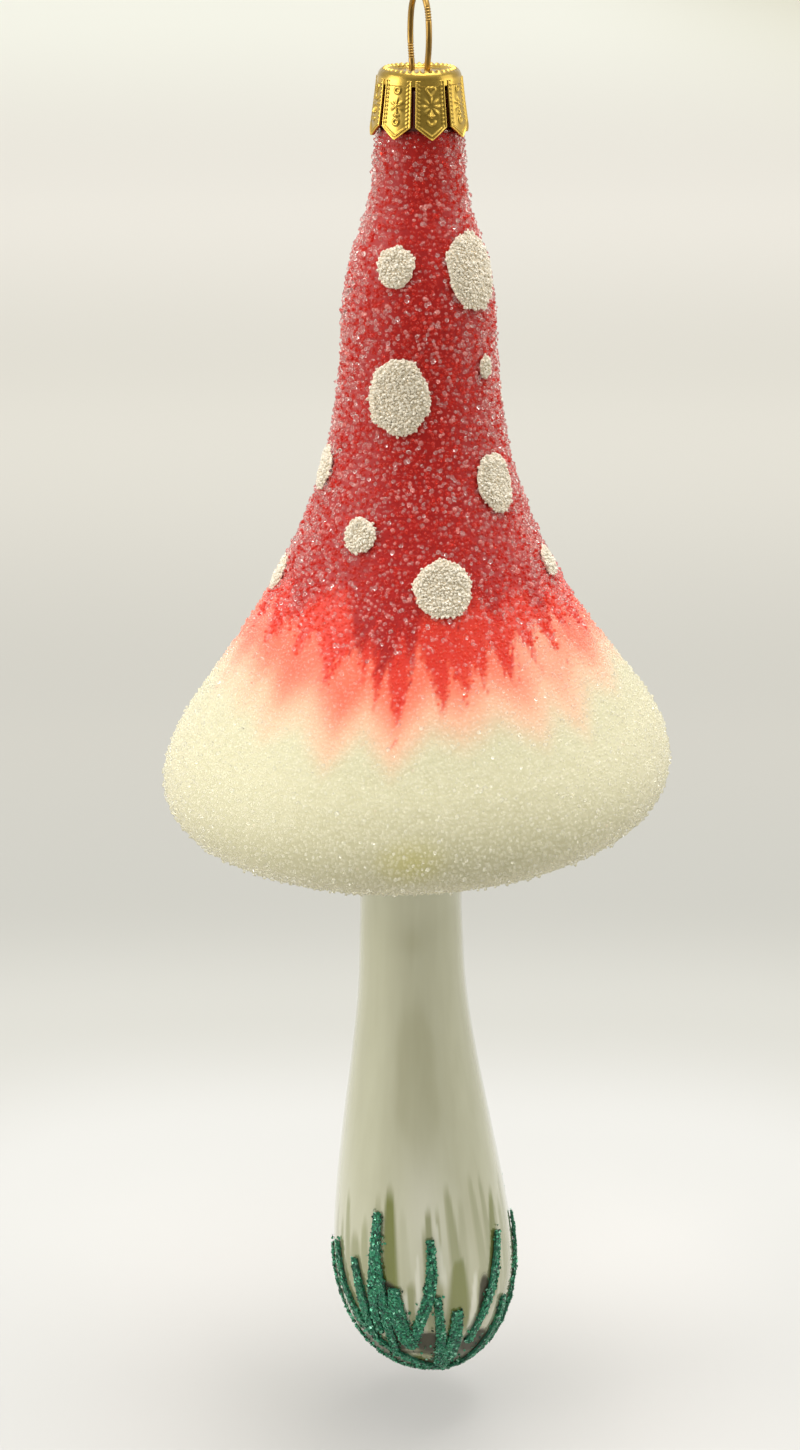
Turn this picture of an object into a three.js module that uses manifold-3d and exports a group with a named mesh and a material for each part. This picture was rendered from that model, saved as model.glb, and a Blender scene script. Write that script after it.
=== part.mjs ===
// A mouth-blown glass ornament in the shape of a tall fly agaric, hanging by the wire loop of
// its stamped gold crown cap. Millimetres, +Z up, -Y is the front, +X is to its right.
// The origin is the inner top of the loop, where a hook bears.

import * as THREE from 'three';
import { mergeVertices } from 'three/addons/utils/BufferGeometryUtils.js';
import Module from 'manifold-3d';

const wasm = await Module();
wasm.setup();

const DEG = Math.PI / 180;

// ---- driving dimensions ----

const GLASS_WALL = 0.9;        // blown glass, thickest a hand-sized ornament has
const SIDES = 32;              // facets round the glass and the coat

const COAT_START_Z = -14.2;    // the grains begin under the points of the cap
const COAT_END_Z = -106;       // and end on the fillet below the bell
const COAT_GAP = 0.08;         // the glue line between glass and grains
const COAT_THICK = 0.5;        // one layer of grains
const COAT_THICK_START = 0.32; // thinner where the cap's tabs close over it
const COAT_GROWS_OVER = 6;

// The glass outline, [radius, height], down from the rim of the neck.
const NECK = [[4.1, -8.8], [4.35, -12], [4.65, -17], [5.2, -22.7]];
const CONE = [[6.3, -26.2], [7.5, -29.9], [8.3, -34.4], [8.65, -40.3], [9.3, -46.3],
  [10.4, -52.6], [12.4, -58.9], [15.1, -65.2]];
const BELL = [[18.6, -71.7], [23, -78.3], [26.8, -83.5], [29.3, -87.2]];
const RIM = [[30.7, -90.5], [31, -93], [30.4, -95], [28.9, -96.7], [26.5, -97.7]];
const UNDERSIDE = [[20, -98.6], [14, -99.7], [9.8, -101.6], [7.5, -104.9]];
const STEM = [[6.6, -110.5], [6.7, -117], [7.1, -125], [8.2, -134], [9.6, -143], [11, -152.4],
  [11.9, -160]];

// The foot is a rounded egg end: r = FOOT_R cos(b)^FOOT_POWER, z falls by FOOT_DEEP sin(b).
const FOOT_R = 12.2;
const FOOT_TOP_Z = -165;
const FOOT_DEEP = 16.7;
const FOOT_POWER = 0.87;
const FOOT_STEPS = 10;

// The blown axis isn't straight: the stem leaves the bell a little to the left and swings
// right, and the bell's rim and all below it are tipped up on the right.
const SWAY_START_Z = -85;
const STEM_TOP_Z = -112;
const SWAY_LEFT = -0.8;
const SWAY_SLOPE = 0.00745;
const SWAY_CURVE = 0.000516;
const TIP_START_Z = -60;
const TIP_END_Z = -90;
const TIP_ANGLE = 2.3 * DEG;

// The crown cap, one sheet with a raised knurled ring round a lower disc.
const SHEET = 0.28;
const CAP_TOP_Z = -7.8;
const DISC_DROP = 0.35;
const DISC_R = 3.1;
const RING_IN_R = 3.5;
const RING_OUT_R = 4.2;
const SHOULDER_R = 4.75;
const SHOULDER_Z = -8.7;
const SKIRT_R = 5.6;
const SKIRT_Z = -15.1;
const TABS = 8;
const FIRST_TAB = 14.5 * DEG;   // measured from the front, positive to the right
const SLOT_WIDE = 0.36;
const SLOT_TOP_Z = -9.2;
const TAB_STRAIGHT_Z = -13.75;
const TAB_POINT_WIDE = 0.3;

// The hanger, one round spring wire.
const WIRE_D = 0.7;
const LOOP_TURN = -70 * DEG;    // the loop's plane, turned from the front plane about Z
const LEG_HALF = 2.45;          // where the legs pass through the cap
const LOOP_HALF = [             // half width and height down one side, below the top
  [1.45, 0.0], [2.4, -1.0], [2.85, -2.4], [3.0, -4.2], [2.9, -5.6], [2.62, -7.0],
];
const LEG = [[LEG_HALF, -8.2], [2.5, -10.5], [2.8, -15], [3.35, -21], [4.9, -27]];
const WIRE_SIDES = 8;
const HOLE_R = 0.55;            // the holes in the cap

// White spots of dense grains: [azimuth, height, width, slant height].
const SPOTS = [
  [-21, -29.3, 4.4, 4.6],
  [52, -30.3, 8.6, 8.8],
  [-15, -44.0, 7.6, 9.0],
  [57, -41.1, 2.2, 2.7],
  [53, -54.5, 6.4, 7.2],
  [-32, -60.1, 4.4, 4.3],
  [11, -65.6, 7.2, 6.9],
  [-82, -54.3, 5.2, 5.6],
  [-90, -68.0, 5.0, 4.6],
  [82, -66.2, 4.4, 4.0],
  [118, -46.5, 6.4, 7.4],
  [196, -32.5, 6.2, 7.8],
  [232, -47.5, 7.2, 8.2],
  [160, -57.0, 5.2, 5.8],
  [128, -31.0, 3.4, 3.8],
  [212, -66.0, 7.4, 6.8],
  [176, -68.8, 3.8, 3.6],
  [142, -71.0, 6.2, 5.4],
];
const SPOT_LIFT = 0.12;        // above the outside of the coat
const SPOT_THICK = 0.4;
const SPOT_SIDES = 14;

// Lines of glitter on the foot: each tuft is a list of strokes, and each stroke is
// its width and its way down the glass as [azimuth, height] stations.
const LINE_LIFT = 0.12;
const LINE_THICK = 0.35;
const FRONT_TUFTS = [
  [[1.3, [-69, -160.3], [-59.5, -166.3], [-46, -171], [-33, -173.6]],
    [1.4, [-48, -160.6], [-44.5, -164], [-41, -168], [-38, -173]],
    [1.5, [-29.5, -152.8], [-31, -159.6], [-33.5, -165.5], [-32, -171]],
    [1.3, [-30.5, -158], [-27.5, -163], [-25.5, -168], [-24, -174]],
    [1.3, [-36, -173.2], [-15, -176], [5.75, -178.4], [28, -179.2], [46, -178]],
    [1.2, [8.5, -164.5], [8.4, -168], [9, -172], [6, -178.3]],
    [1.9, [20.2, -167.2], [18.8, -171], [16, -174.4], [8, -178.3]],
    [1.6, [59, -168.6], [56.5, -172], [48, -175.4], [34, -178.4]],
    [1.0, [91, -159.6], [87, -166], [79, -170.8], [66, -174.6], [46, -177.4]]],
  [[2.2, [-18.5, -163.2], [-18.2, -166], [-16, -169.5], [-11.5, -173]],
    [1.4, [6, -156], [4.8, -162.5], [-2.2, -167.5], [-11.8, -173.2]]],
  [[1.3, [57.5, -158.2], [50, -163.4], [41, -168], [28, -173.2]]],
];
const BACK_TUFTS = 5;
const BACK_FROM = 122;         // azimuth of the first tuft round the back
const BACK_STEP = 29;

// ---- the outline and the surface built on it ----

function footStations() {
  const list = [];
  for (let i = 0; i <= FOOT_STEPS; i += 1) {
    const b = (Math.PI / 2) * (i / FOOT_STEPS);
    const radius = i === FOOT_STEPS ? 0 : FOOT_R * Math.cos(b) ** FOOT_POWER;
    list.push([radius, FOOT_TOP_Z - FOOT_DEEP * Math.sin(b)]);
  }
  return list;
}

// One smooth curve through every station, sampled evenly, with its length and outward normal.
function outline(samples) {
  const stations = [...NECK, ...CONE, ...BELL, ...RIM, ...UNDERSIDE, ...STEM, ...footStations()];
  const curve = new THREE.CatmullRomCurve3(
    stations.map(([r, z]) => new THREE.Vector3(r, z, 0)), false, 'centripetal');
  curve.arcLengthDivisions = 2000;
  const total = curve.getLength();
  const list = [];
  for (let i = 0; i <= samples; i += 1) {
    const p = curve.getPointAt(i / samples);
    const q = curve.getTangentAt(i / samples);
    list.push({ r: Math.max(p.x, 0), z: p.y, nr: -q.y, nz: q.x, s: (total * i) / samples });
  }
  list[samples].r = 0;
  list[samples].nr = 0;
  list[samples].nz = -1;
  return list;
}

const LINE = outline(600);
const WIDEST = LINE.reduce((best, p, i) => (p.r > LINE[best].r ? i : best), 0);

function lengthAt(z, below) {
  const from = below ? WIDEST : 0;
  const to = below ? LINE.length - 1 : WIDEST;
  for (let i = from; i < to; i += 1) {
    if (LINE[i].z >= z && LINE[i + 1].z <= z) {
      const t = (LINE[i].z - z) / (LINE[i].z - LINE[i + 1].z || 1);
      return LINE[i].s + t * (LINE[i + 1].s - LINE[i].s);
    }
  }
  return LINE[to].s;
}

function outlineAt(s) {
  const last = LINE.length - 1;
  const f = Math.min(Math.max(s / LINE[last].s, 0), 1) * last;
  const i = Math.min(Math.floor(f), last - 1);
  const t = f - i;
  const mix = (key) => LINE[i][key] * (1 - t) + LINE[i + 1][key] * t;
  const size = Math.hypot(mix('nr'), mix('nz'));
  return { r: mix('r'), z: mix('z'), nr: mix('nr') / size, nz: mix('nz') / size };
}

function smooth(from, to, value) {
  const t = Math.min(Math.max((value - from) / (to - from), 0), 1);
  return t * t * (3 - 2 * t);
}

// Moves a point of the straight figure to where the swaying axis puts it.
function sway(point) {
  const below = Math.max(STEM_TOP_Z - point.z, 0);
  const side = SWAY_LEFT * smooth(SWAY_START_Z, STEM_TOP_Z, point.z)
    + SWAY_SLOPE * below + SWAY_CURVE * below * below;
  const rise = Math.tan(TIP_ANGLE) * smooth(TIP_START_Z, TIP_END_Z, point.z);
  point.z += point.x * rise;
  point.x += side;
  return point;
}

function onGlass(s, azimuth, out) {
  const p = outlineAt(s);
  const r = p.r + p.nr * out;
  return new THREE.Vector3(r * Math.sin(azimuth), -r * Math.cos(azimuth), p.z + p.nz * out);
}

function mapVertices(geometry, place) {
  const position = geometry.attributes.position;
  for (let i = 0; i < position.count; i += 1) {
    const v = place(new THREE.Vector3().fromBufferAttribute(position, i));
    position.setXYZ(i, v.x, v.y, v.z);
  }
  return geometry;
}

// ---- closed solids, joined and cut ----

// Shared vertices merged, and the slivers that a pole leaves dropped.
function bare(geometry) {
  geometry.deleteAttribute('normal');
  geometry.deleteAttribute('uv');
  const merged = mergeVertices(geometry, 1e-4);
  const index = merged.index.array;
  const kept = [];
  for (let i = 0; i < index.length; i += 3) {
    const [a, b, c] = [index[i], index[i + 1], index[i + 2]];
    if (a !== b && b !== c && c !== a) kept.push(a, b, c);
  }
  merged.setIndex(kept);
  return merged;
}

function toSolid(geometry) {
  const g = bare(geometry);
  const mesh = new wasm.Mesh({
    numProp: 3,
    vertProperties: new Float32Array(g.attributes.position.array),
    triVerts: new Uint32Array(g.index.array),
  });
  return new wasm.Manifold(mesh);
}

function fromSolid(solid) {
  const mesh = solid.getMesh();
  const g = new THREE.BufferGeometry();
  g.setAttribute('position', new THREE.BufferAttribute(new Float32Array(mesh.vertProperties), 3));
  g.setIndex(new THREE.BufferAttribute(new Uint32Array(mesh.triVerts), 1));
  g.computeVertexNormals();
  return g;
}

// A profile of [radius, height] turned about Z.
function turned(profile, sides) {
  const points = profile.map(([r, z]) => new THREE.Vector2(r, z));
  return new THREE.LatheGeometry(points, sides).rotateX(Math.PI / 2);
}

// The sections where both glass and coat have their rings: closer where the outline turns.
function sections() {
  const stops = [[0, 0], [lengthAt(COAT_START_Z, false), 2], [lengthAt(-86, false), 16],
    [lengthAt(-97.6, true), 8], [lengthAt(COAT_END_Z, true), 7], [lengthAt(-162, true), 8],
    [LINE[LINE.length - 1].s, 9]];
  const list = [0];
  for (let k = 1; k < stops.length; k += 1) {
    const [from, [to, steps]] = [stops[k - 1][0], stops[k]];
    for (let i = 1; i <= steps; i += 1) list.push(from + ((to - from) * i) / steps);
  }
  return list;
}

function profileOf(lengths, out) {
  return lengths.map((s) => {
    const p = outlineAt(s);
    const lift = typeof out === 'function' ? out(s) : out;
    return [Math.max(p.r + p.nr * lift, 0), p.z + p.nz * lift];
  });
}

// ---- the pieces ----

const ornament = new THREE.Group();

function add(name, geometry, color, roughness, metalness) {
  const material = new THREE.MeshStandardMaterial({ color, roughness, metalness });
  const mesh = new THREE.Mesh(geometry, material);
  mesh.name = name;
  ornament.add(mesh);
}

// The blown shell is open at the neck, so its hollow reaches the air.
function glassBody() {
  const lengths = sections();
  const outside = profileOf(lengths, 0).reverse();
  const inside = profileOf(lengths.filter((s, i) => i % 2 === 0), -GLASS_WALL);
  outside[0][0] = 0;
  inside[inside.length - 1] = [0, LINE[LINE.length - 1].z + GLASS_WALL];
  return mapVertices(turned([...outside, ...inside], SIDES), sway);
}

// The coat is a sleeve a grain thick, cut square where it stops.
function beadFrosting() {
  const from = lengthAt(COAT_START_Z, false);
  const to = lengthAt(COAT_END_Z, true);
  const lengths = sections().filter((s) => s > from - 1e-6 && s < to + 1e-6);
  const grown = (s) => Math.min((s - from) / COAT_GROWS_OVER, 1);
  const thick = (s) => COAT_THICK_START + (COAT_THICK - COAT_THICK_START) * grown(s);
  const outside = profileOf(lengths, (s) => COAT_GAP + thick(s));
  const inside = profileOf(lengths, COAT_GAP).reverse();
  const ring = [...outside, ...inside, outside[0]].reverse();
  return mapVertices(turned(ring, SIDES), sway);
}

function slotCutter(azimuth) {
  const half = (Math.PI * SKIRT_R) / TABS - TAB_POINT_WIDE / 2;
  const shape = new THREE.Shape([
    new THREE.Vector2(-SLOT_WIDE / 2, SLOT_TOP_Z),
    new THREE.Vector2(-SLOT_WIDE / 2, TAB_STRAIGHT_Z),
    new THREE.Vector2(-half, SKIRT_Z),
    new THREE.Vector2(-half, SKIRT_Z - 1),
    new THREE.Vector2(half, SKIRT_Z - 1),
    new THREE.Vector2(half, SKIRT_Z),
    new THREE.Vector2(SLOT_WIDE / 2, TAB_STRAIGHT_Z),
    new THREE.Vector2(SLOT_WIDE / 2, SLOT_TOP_Z),
  ]);
  const cutter = new THREE.ExtrudeGeometry(shape, { depth: 4, bevelEnabled: false });
  return cutter.rotateX(Math.PI / 2).translate(0, -3.2, 0).rotateZ(azimuth);
}

function crownCap() {
  const discZ = CAP_TOP_Z - DISC_DROP;
  const outside = [[0, discZ], [DISC_R, discZ], [RING_IN_R, CAP_TOP_Z], [RING_OUT_R, CAP_TOP_Z],
    [SHOULDER_R - 0.15, SHOULDER_Z + 0.45], [SHOULDER_R, SHOULDER_Z], [SKIRT_R, SKIRT_Z]];
  const inside = [[0, discZ - SHEET], [DISC_R + 0.1, discZ - SHEET],
    [RING_IN_R + 0.1, CAP_TOP_Z - SHEET], [RING_OUT_R - 0.1, CAP_TOP_Z - SHEET],
    [SHOULDER_R - SHEET - 0.1, SHOULDER_Z], [SKIRT_R - SHEET, SKIRT_Z]].reverse();
  let solid = toSolid(turned([...outside, ...inside].reverse(), 40));
  for (let i = 0; i < TABS; i += 1) {
    const between = FIRST_TAB + ((i + 0.5) * 2 * Math.PI) / TABS;
    solid = solid.subtract(toSolid(slotCutter(between)));
  }
  for (const side of [-1, 1]) {
    const hole = new THREE.CylinderGeometry(HOLE_R, HOLE_R, 2, 12);
    hole.rotateX(Math.PI / 2).translate(side * LEG_HALF, 0, discZ).rotateZ(LOOP_TURN);
    solid = solid.subtract(toSolid(hole));
  }
  return fromSolid(solid);
}

// The loop bulges above the cap, and its legs spring outwards inside the neck.
function hangerWire() {
  const half = [[0, WIRE_D / 2], ...LOOP_HALF, ...LEG];
  const right = half.map(([x, z]) => new THREE.Vector3(x, 0, z));
  const left = half.slice(1).reverse().map(([x, z]) => new THREE.Vector3(-x, 0, z));
  const path = new THREE.CatmullRomCurve3([...left, ...right], false, 'centripetal');
  const section = new THREE.Shape();
  for (let i = 0; i < WIRE_SIDES; i += 1) {
    const b = (2 * Math.PI * (i + 0.5)) / WIRE_SIDES;
    const x = (WIRE_D / 2) * Math.cos(b);
    const y = (WIRE_D / 2) * Math.sin(b);
    if (i === 0) section.moveTo(x, y);
    else section.lineTo(x, y);
  }
  section.closePath();
  const wire = new THREE.ExtrudeGeometry(section, { steps: 44, extrudePath: path });
  return wire.rotateZ(LOOP_TURN);
}

// A disc of rings, wrapped on the outside of the coat, with an uneven edge.
function whiteSpot(index, azimuthDeg, z, wide, tall) {
  const profile = [[0, 0], [0.5, 0], [1, 0], [0.96, 0.7], [0.5, 1], [0, 1]];
  const disc = turned(profile, SPOT_SIDES);
  const middle = lengthAt(z, false);
  const base = COAT_GAP + COAT_THICK + SPOT_LIFT;
  return mapVertices(disc, (v) => {
    const angle = Math.atan2(v.y, v.x);
    const uneven = 1 + 0.06 * Math.sin(3 * angle + index * 1.7) + 0.04 * Math.sin(5 * angle + index);
    const s = middle - v.y * (tall / 2) * uneven;
    const r = outlineAt(s).r + base;
    const azimuth = azimuthDeg * DEG + (v.x * (wide / 2) * uneven) / r;
    return sway(onGlass(s, azimuth, base + v.z * SPOT_THICK));
  });
}

// A flat strip wrapped on the foot along its stations, narrower at both ends.
function stroke([wide, ...stations]) {
  const way = new THREE.CatmullRomCurve3(
    stations.map(([a, z]) => new THREE.Vector3(a, lengthAt(z, true) * 3, 0)), false, 'centripetal');
  const strip = new THREE.BoxGeometry(1, 1, 1, 1, 6, 1);
  return mapVertices(strip, (v) => {
    const t = v.y + 0.5;
    const p = way.getPointAt(t);
    const q = way.getTangentAt(t);
    const s = p.y / 3;
    const r = outlineAt(s).r;
    const turn = new THREE.Vector2(q.x * DEG * r, q.y / 3).normalize();
    const taper = 0.55 + 0.45 * Math.sin(Math.PI * Math.min(Math.max(t, 0.08), 0.92));
    const across = v.x * wide * taper;
    const azimuth = p.x * DEG - (across * turn.y) / r;
    const lift = LINE_LIFT + (v.z + 0.5) * LINE_THICK;
    return sway(onGlass(s + across * turn.x, azimuth, lift));
  });
}

// Round the back each tuft is an open V with a short blade beside it.
function backTuft(i) {
  const a = BACK_FROM + BACK_STEP * i;
  const high = -156 - 3 * ((i * 2) % 3);
  return [
    [1.4, [a - 9, high], [a - 8, high - 7], [a - 5, -168.5], [a, -173]],
    [1.3, [a + 11, high - 3.5], [a + 9.5, -165.5], [a + 5, -169.5], [a + 0.5, -173.2]],
    [1.2, [a - 1, -167], [a - 0.5, -170], [a, -173], [a + 1, -176]],
  ];
}

function glitterTuft(strokes) {
  const parts = strokes.map((s) => toSolid(stroke(s)));
  return fromSolid(parts.slice(1).reduce((sum, p) => sum.add(p), parts[0]));
}

add('glass_body', bare(glassBody()), '#c9c6a4', 0.08, 0.0);
add('bead_frosting', bare(beadFrosting()), '#c8323a', 0.35, 0.0);
add('crown_cap', crownCap(), '#c9a23a', 0.3, 1.0);
add('hanger_wire', bare(hangerWire()), '#8a6a3a', 0.35, 1.0);
SPOTS.forEach(([azimuth, z, wide, tall], i) => {
  const name = `white_spot_${String(i + 1).padStart(2, '0')}`;
  add(name, bare(whiteSpot(i, azimuth, z, wide, tall)), '#ece3d2', 0.5, 0.0);
});
const tufts = [...FRONT_TUFTS];
for (let i = 0; i < BACK_TUFTS; i += 1) {
  tufts.push(backTuft(i));
}
tufts.forEach((strokes, i) => {
  const name = `glitter_tuft_${String(i + 1).padStart(2, '0')}`;
  add(name, glitterTuft(strokes), '#0f7a52', 0.35, 0.2);
});

export default ornament;
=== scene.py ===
# %% [markdown]
# # A hanging glass mushroom
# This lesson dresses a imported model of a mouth-blown ornament: a tall fly agaric with a coat of
# glass grains, a glossy stem with green glitter, and a stamped gold cap with a wire loop.
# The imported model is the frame. It gives every size and place, and the pieces made here lie on it.

import bpy
import numpy as np
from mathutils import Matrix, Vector


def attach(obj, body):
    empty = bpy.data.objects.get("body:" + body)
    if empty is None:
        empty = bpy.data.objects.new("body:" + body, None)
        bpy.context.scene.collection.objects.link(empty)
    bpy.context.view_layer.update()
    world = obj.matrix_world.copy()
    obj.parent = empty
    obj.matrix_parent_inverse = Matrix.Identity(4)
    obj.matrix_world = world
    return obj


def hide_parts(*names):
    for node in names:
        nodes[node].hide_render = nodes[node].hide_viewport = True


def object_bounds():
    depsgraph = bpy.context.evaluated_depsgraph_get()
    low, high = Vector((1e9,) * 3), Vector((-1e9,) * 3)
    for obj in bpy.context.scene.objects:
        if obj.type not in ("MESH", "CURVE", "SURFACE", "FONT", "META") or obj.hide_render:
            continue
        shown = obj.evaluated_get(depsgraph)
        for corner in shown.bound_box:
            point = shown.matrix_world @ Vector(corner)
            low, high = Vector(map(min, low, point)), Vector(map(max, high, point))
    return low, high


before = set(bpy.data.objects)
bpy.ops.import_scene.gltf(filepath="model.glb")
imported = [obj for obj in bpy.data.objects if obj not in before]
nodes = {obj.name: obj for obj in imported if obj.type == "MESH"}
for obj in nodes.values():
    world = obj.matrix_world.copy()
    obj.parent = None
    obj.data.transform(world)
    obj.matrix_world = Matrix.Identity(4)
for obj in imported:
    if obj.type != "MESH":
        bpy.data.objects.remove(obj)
cad_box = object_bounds()
MM = 0.001
TURN = 2 * np.pi
print("nodes:", len(nodes), "height in mm:", round((cad_box[1].z - cad_box[0].z) / MM, 1))

# %% [markdown]
# ## The camera
# A hand-held close view: the camera stands just above the loop, about 0.3 m in front, and looks
# down at the stem. A long lens from far away would show the bell flat from the side, so the
# distance matters as much as the angle.

# %% Camera
LENS = 62.0
LOOK_DOWN = np.radians(22.0)
CAMERA_AT = (-0.0022, -0.28928, 0.02898)

camera_data = bpy.data.cameras.new("camera")
camera_data.sensor_width = 36.0
camera_data.lens = LENS
camera_data.clip_start = 0.01
camera = bpy.data.objects.new("camera", camera_data)
camera.location = CAMERA_AT
camera.rotation_euler = (np.pi / 2 - LOOK_DOWN, 0.0, 0.0)
bpy.context.scene.collection.objects.link(camera)
bpy.context.scene.camera = camera
print("camera distance in mm:", round(float(np.linalg.norm(CAMERA_AT)) / MM))

# %% [markdown]
# ## Small helpers
# A surface of this lesson is a grid of points computed as whole numpy arrays. `put_mesh` hands
# such arrays to Blender, and turns the faces round if the closed solid they bound is inside out.

# %% Mesh helpers
def ramp(a, b, x):
    """0 before a, 1 after b, and between them three t squared minus two t cubed."""
    t = np.clip((x - a) / (b - a), 0.0, 1.0)
    return t * t * (3.0 - 2.0 * t)


def wrap(angle, turn=360.0):
    """An angle brought to within half a turn of zero, in degrees unless `turn` says otherwise."""
    return (angle + turn / 2) % turn - turn / 2


def unit(arrows):
    """Arrows of length one in the same directions."""
    return arrows / np.linalg.norm(arrows, axis=-1, keepdims=True)


def polar(r, azimuth, z):
    """Points at radius r and height z; the azimuth is 0 in front and positive to the right."""
    return np.stack(np.broadcast_arrays(r * np.sin(azimuth), -r * np.cos(azimuth), z), axis=-1)


def all_round(count):
    """So many equal steps of azimuth round the axis."""
    return np.linspace(0, TURN, count, endpoint=False)


def enclosed(points, faces):
    """The volume inside: a sixth of the sum of p0 . (p1 x p2) over the triangles of each face."""
    total = 0.0
    for k in range(1, faces.shape[1] - 1):
        a, b, c = points[faces[:, 0]], points[faces[:, k]], points[faces[:, k + 1]]
        total += np.einsum("ij,ij->i", a, np.cross(b, c)).sum() / 6.0
    return total


def put_mesh(name, points, face_sets, smooth=True):
    """Makes a mesh object of points in mm and of face arrays, each with one number of corners."""
    points = np.asarray(points, float).reshape(-1, 3)
    face_sets = [np.asarray(f, np.int64) for f in face_sets if len(f)]
    if sum(enclosed(points - points.mean(0), f) for f in face_sets) < 0:
        face_sets = [f[:, ::-1] for f in face_sets]
    corners = np.concatenate([f.ravel() for f in face_sets])
    counts = np.concatenate([np.full(len(f), f.shape[1]) for f in face_sets])
    starts = np.concatenate([[0], np.cumsum(counts)[:-1]])
    mesh = bpy.data.meshes.new(name)
    mesh.vertices.add(len(points))
    mesh.vertices.foreach_set("co", (points * MM).astype(np.float32).ravel())
    mesh.loops.add(len(corners))
    mesh.loops.foreach_set("vertex_index", corners.astype(np.int32))
    mesh.polygons.add(len(counts))
    mesh.polygons.foreach_set("loop_start", starts.astype(np.int32))
    mesh.polygons.foreach_set("use_smooth", np.full(len(counts), smooth))
    mesh.update(calc_edges=True)
    made = bpy.data.objects.new(name, mesh)
    bpy.context.scene.collection.objects.link(made)
    print(f"{name}: {len(points)} points, {int((counts - 2).sum())} triangles")
    return made


def grid_faces(rows, columns, wrap_columns=False, wrap_rows=False, first=0):
    """Quads between neighbouring rows and columns of a grid stored row by row."""
    r = np.arange(rows if wrap_rows else rows - 1)
    c = np.arange(columns if wrap_columns else columns - 1)
    r, c = [a.ravel() for a in np.meshgrid(r, c, indexing="ij")]
    r2, c2 = (r + 1) % rows, (c + 1) % columns
    return first + np.stack([r * columns + c, r * columns + c2, r2 * columns + c2,
                             r2 * columns + c], axis=1)


def fan(first, count, centre, flip=False):
    """Triangles from the edges of a closed ring of points to one point in its middle."""
    k = np.arange(count)
    faces = np.stack([first + k, first + (k + 1) % count, np.full(count, centre)], axis=1)
    return faces[:, ::-1] if flip else faces


def give_colours(piece, name, *channels):
    """Stores three numbers at each point as the red, green and blue of the attribute `name`."""
    values = np.stack([*channels, np.ones_like(channels[0])], axis=1)
    layer = piece.data.color_attributes.new(name, "FLOAT_COLOR", "POINT")
    layer.data.foreach_set("color", values.astype(np.float32).ravel())


def declare(piece, material, slot, *replaced):
    """Every new piece gets its material, rides on the one body and may stand for CAD nodes,
    which are hidden. The slot is not used.
    """
    piece.data.materials.append(material)
    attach(piece, "root")
    if replaced:
        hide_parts(*replaced)


def coordinates(name):
    """The points of a CAD node in mm."""
    flat = np.zeros(len(nodes[name].data.vertices) * 3)
    nodes[name].data.vertices.foreach_get("co", flat)
    return flat.reshape(-1, 3) / MM


# %% [markdown]
# ## The blown outline
# The glass was blown in one go, so one smooth curve runs from the neck's rim to the tip. It is
# a centripetal Catmull-Rom curve through the CAD's own stations: it goes through each of them,
# and it doesn't loop where they lie close together, as a plain one would.

# %% Outline of the glass
STATIONS = [
    [4.1, -8.8], [4.35, -12], [4.65, -17], [5.2, -22.7],
    [6.3, -26.2], [7.5, -29.9], [8.3, -34.4], [8.65, -40.3], [9.3, -46.3], [10.4, -52.6],
    [12.4, -58.9], [15.1, -65.2],
    [18.6, -71.7], [23, -78.3], [26.8, -83.5], [29.3, -87.2],
    [30.7, -90.5], [31, -93], [30.4, -95], [28.9, -96.7], [26.5, -97.7],
    [20, -98.6], [14, -99.7], [9.8, -101.6], [7.5, -104.9],
    [6.6, -110.5], [6.7, -117], [7.1, -125], [8.2, -134], [9.6, -143], [11, -152.4],
    [11.9, -160]]
FOOT_R, FOOT_TOP_Z, FOOT_DEEP, FOOT_POWER, FOOT_STEPS = 12.2, -165.0, 16.7, 0.87, 10


def foot_stations():
    """The rounded foot: radius R cos(b)^power, height falling by the depth times sin(b)."""
    b = np.linspace(0, np.pi / 2, FOOT_STEPS + 1)
    r = FOOT_R * np.cos(b) ** FOOT_POWER
    r[-1] = 0.0
    return np.stack([r, FOOT_TOP_Z - FOOT_DEEP * np.sin(b)], axis=1)


def through(points, per_span):
    """Centripetal Catmull-Rom: each span is a cubic whose end slopes come from its neighbours,
    weighted by the square root of the distances between the stations."""
    p = np.concatenate([[2 * points[0] - points[1]], points, [2 * points[-1] - points[-2]]])
    d = np.sqrt(np.linalg.norm(np.diff(p, axis=0), axis=1))[:, None]
    p0, p1, p2, p3 = p[:-3], p[1:-2], p[2:-1], p[3:]
    d0, d1, d2 = d[:-2], d[1:-1], d[2:]
    m1 = ((p1 - p0) / d0 - (p2 - p0) / (d0 + d1) + (p2 - p1) / d1) * d1
    m2 = ((p2 - p1) / d1 - (p3 - p1) / (d1 + d2) + (p3 - p2) / d2) * d1
    t = (np.arange(per_span) / per_span)[None, :, None]
    a, b, c, e = [v[:, None, :] for v in (p1, m1, -3 * p1 + 3 * p2 - 2 * m1 - m2,
                                          2 * p1 - 2 * p2 + m1 + m2)]
    curve = (a + b * t + c * t ** 2 + e * t ** 3).reshape(-1, points.shape[1])
    return np.concatenate([curve, points[-1:]])


def measured(curve):
    """Length along a curve at each of its points."""
    return np.concatenate([[0], np.cumsum(np.linalg.norm(np.diff(curve, axis=0), axis=1))])


outline_rz = through(np.concatenate([STATIONS, foot_stations()]), 40)
outline_s = measured(outline_rz)
slope = unit(np.gradient(outline_rz, outline_s, axis=0))
outline_n = np.stack([-slope[:, 1], slope[:, 0]], axis=1)
outline_n[-1] = (0.0, -1.0)
WIDEST = int(np.argmax(outline_rz[:, 0]))
END_S = outline_s[-1]
print("outline length in mm:", round(END_S, 1), "widest radius:", outline_rz[WIDEST, 0].round(2))


def at_height(z, below=False):
    """Length along the outline at height z, above the widest place or below it."""
    part = slice(WIDEST, None) if below else slice(0, WIDEST + 1)
    return np.interp(-np.asarray(z, float), -outline_rz[part, 1], outline_s[part])


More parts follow.
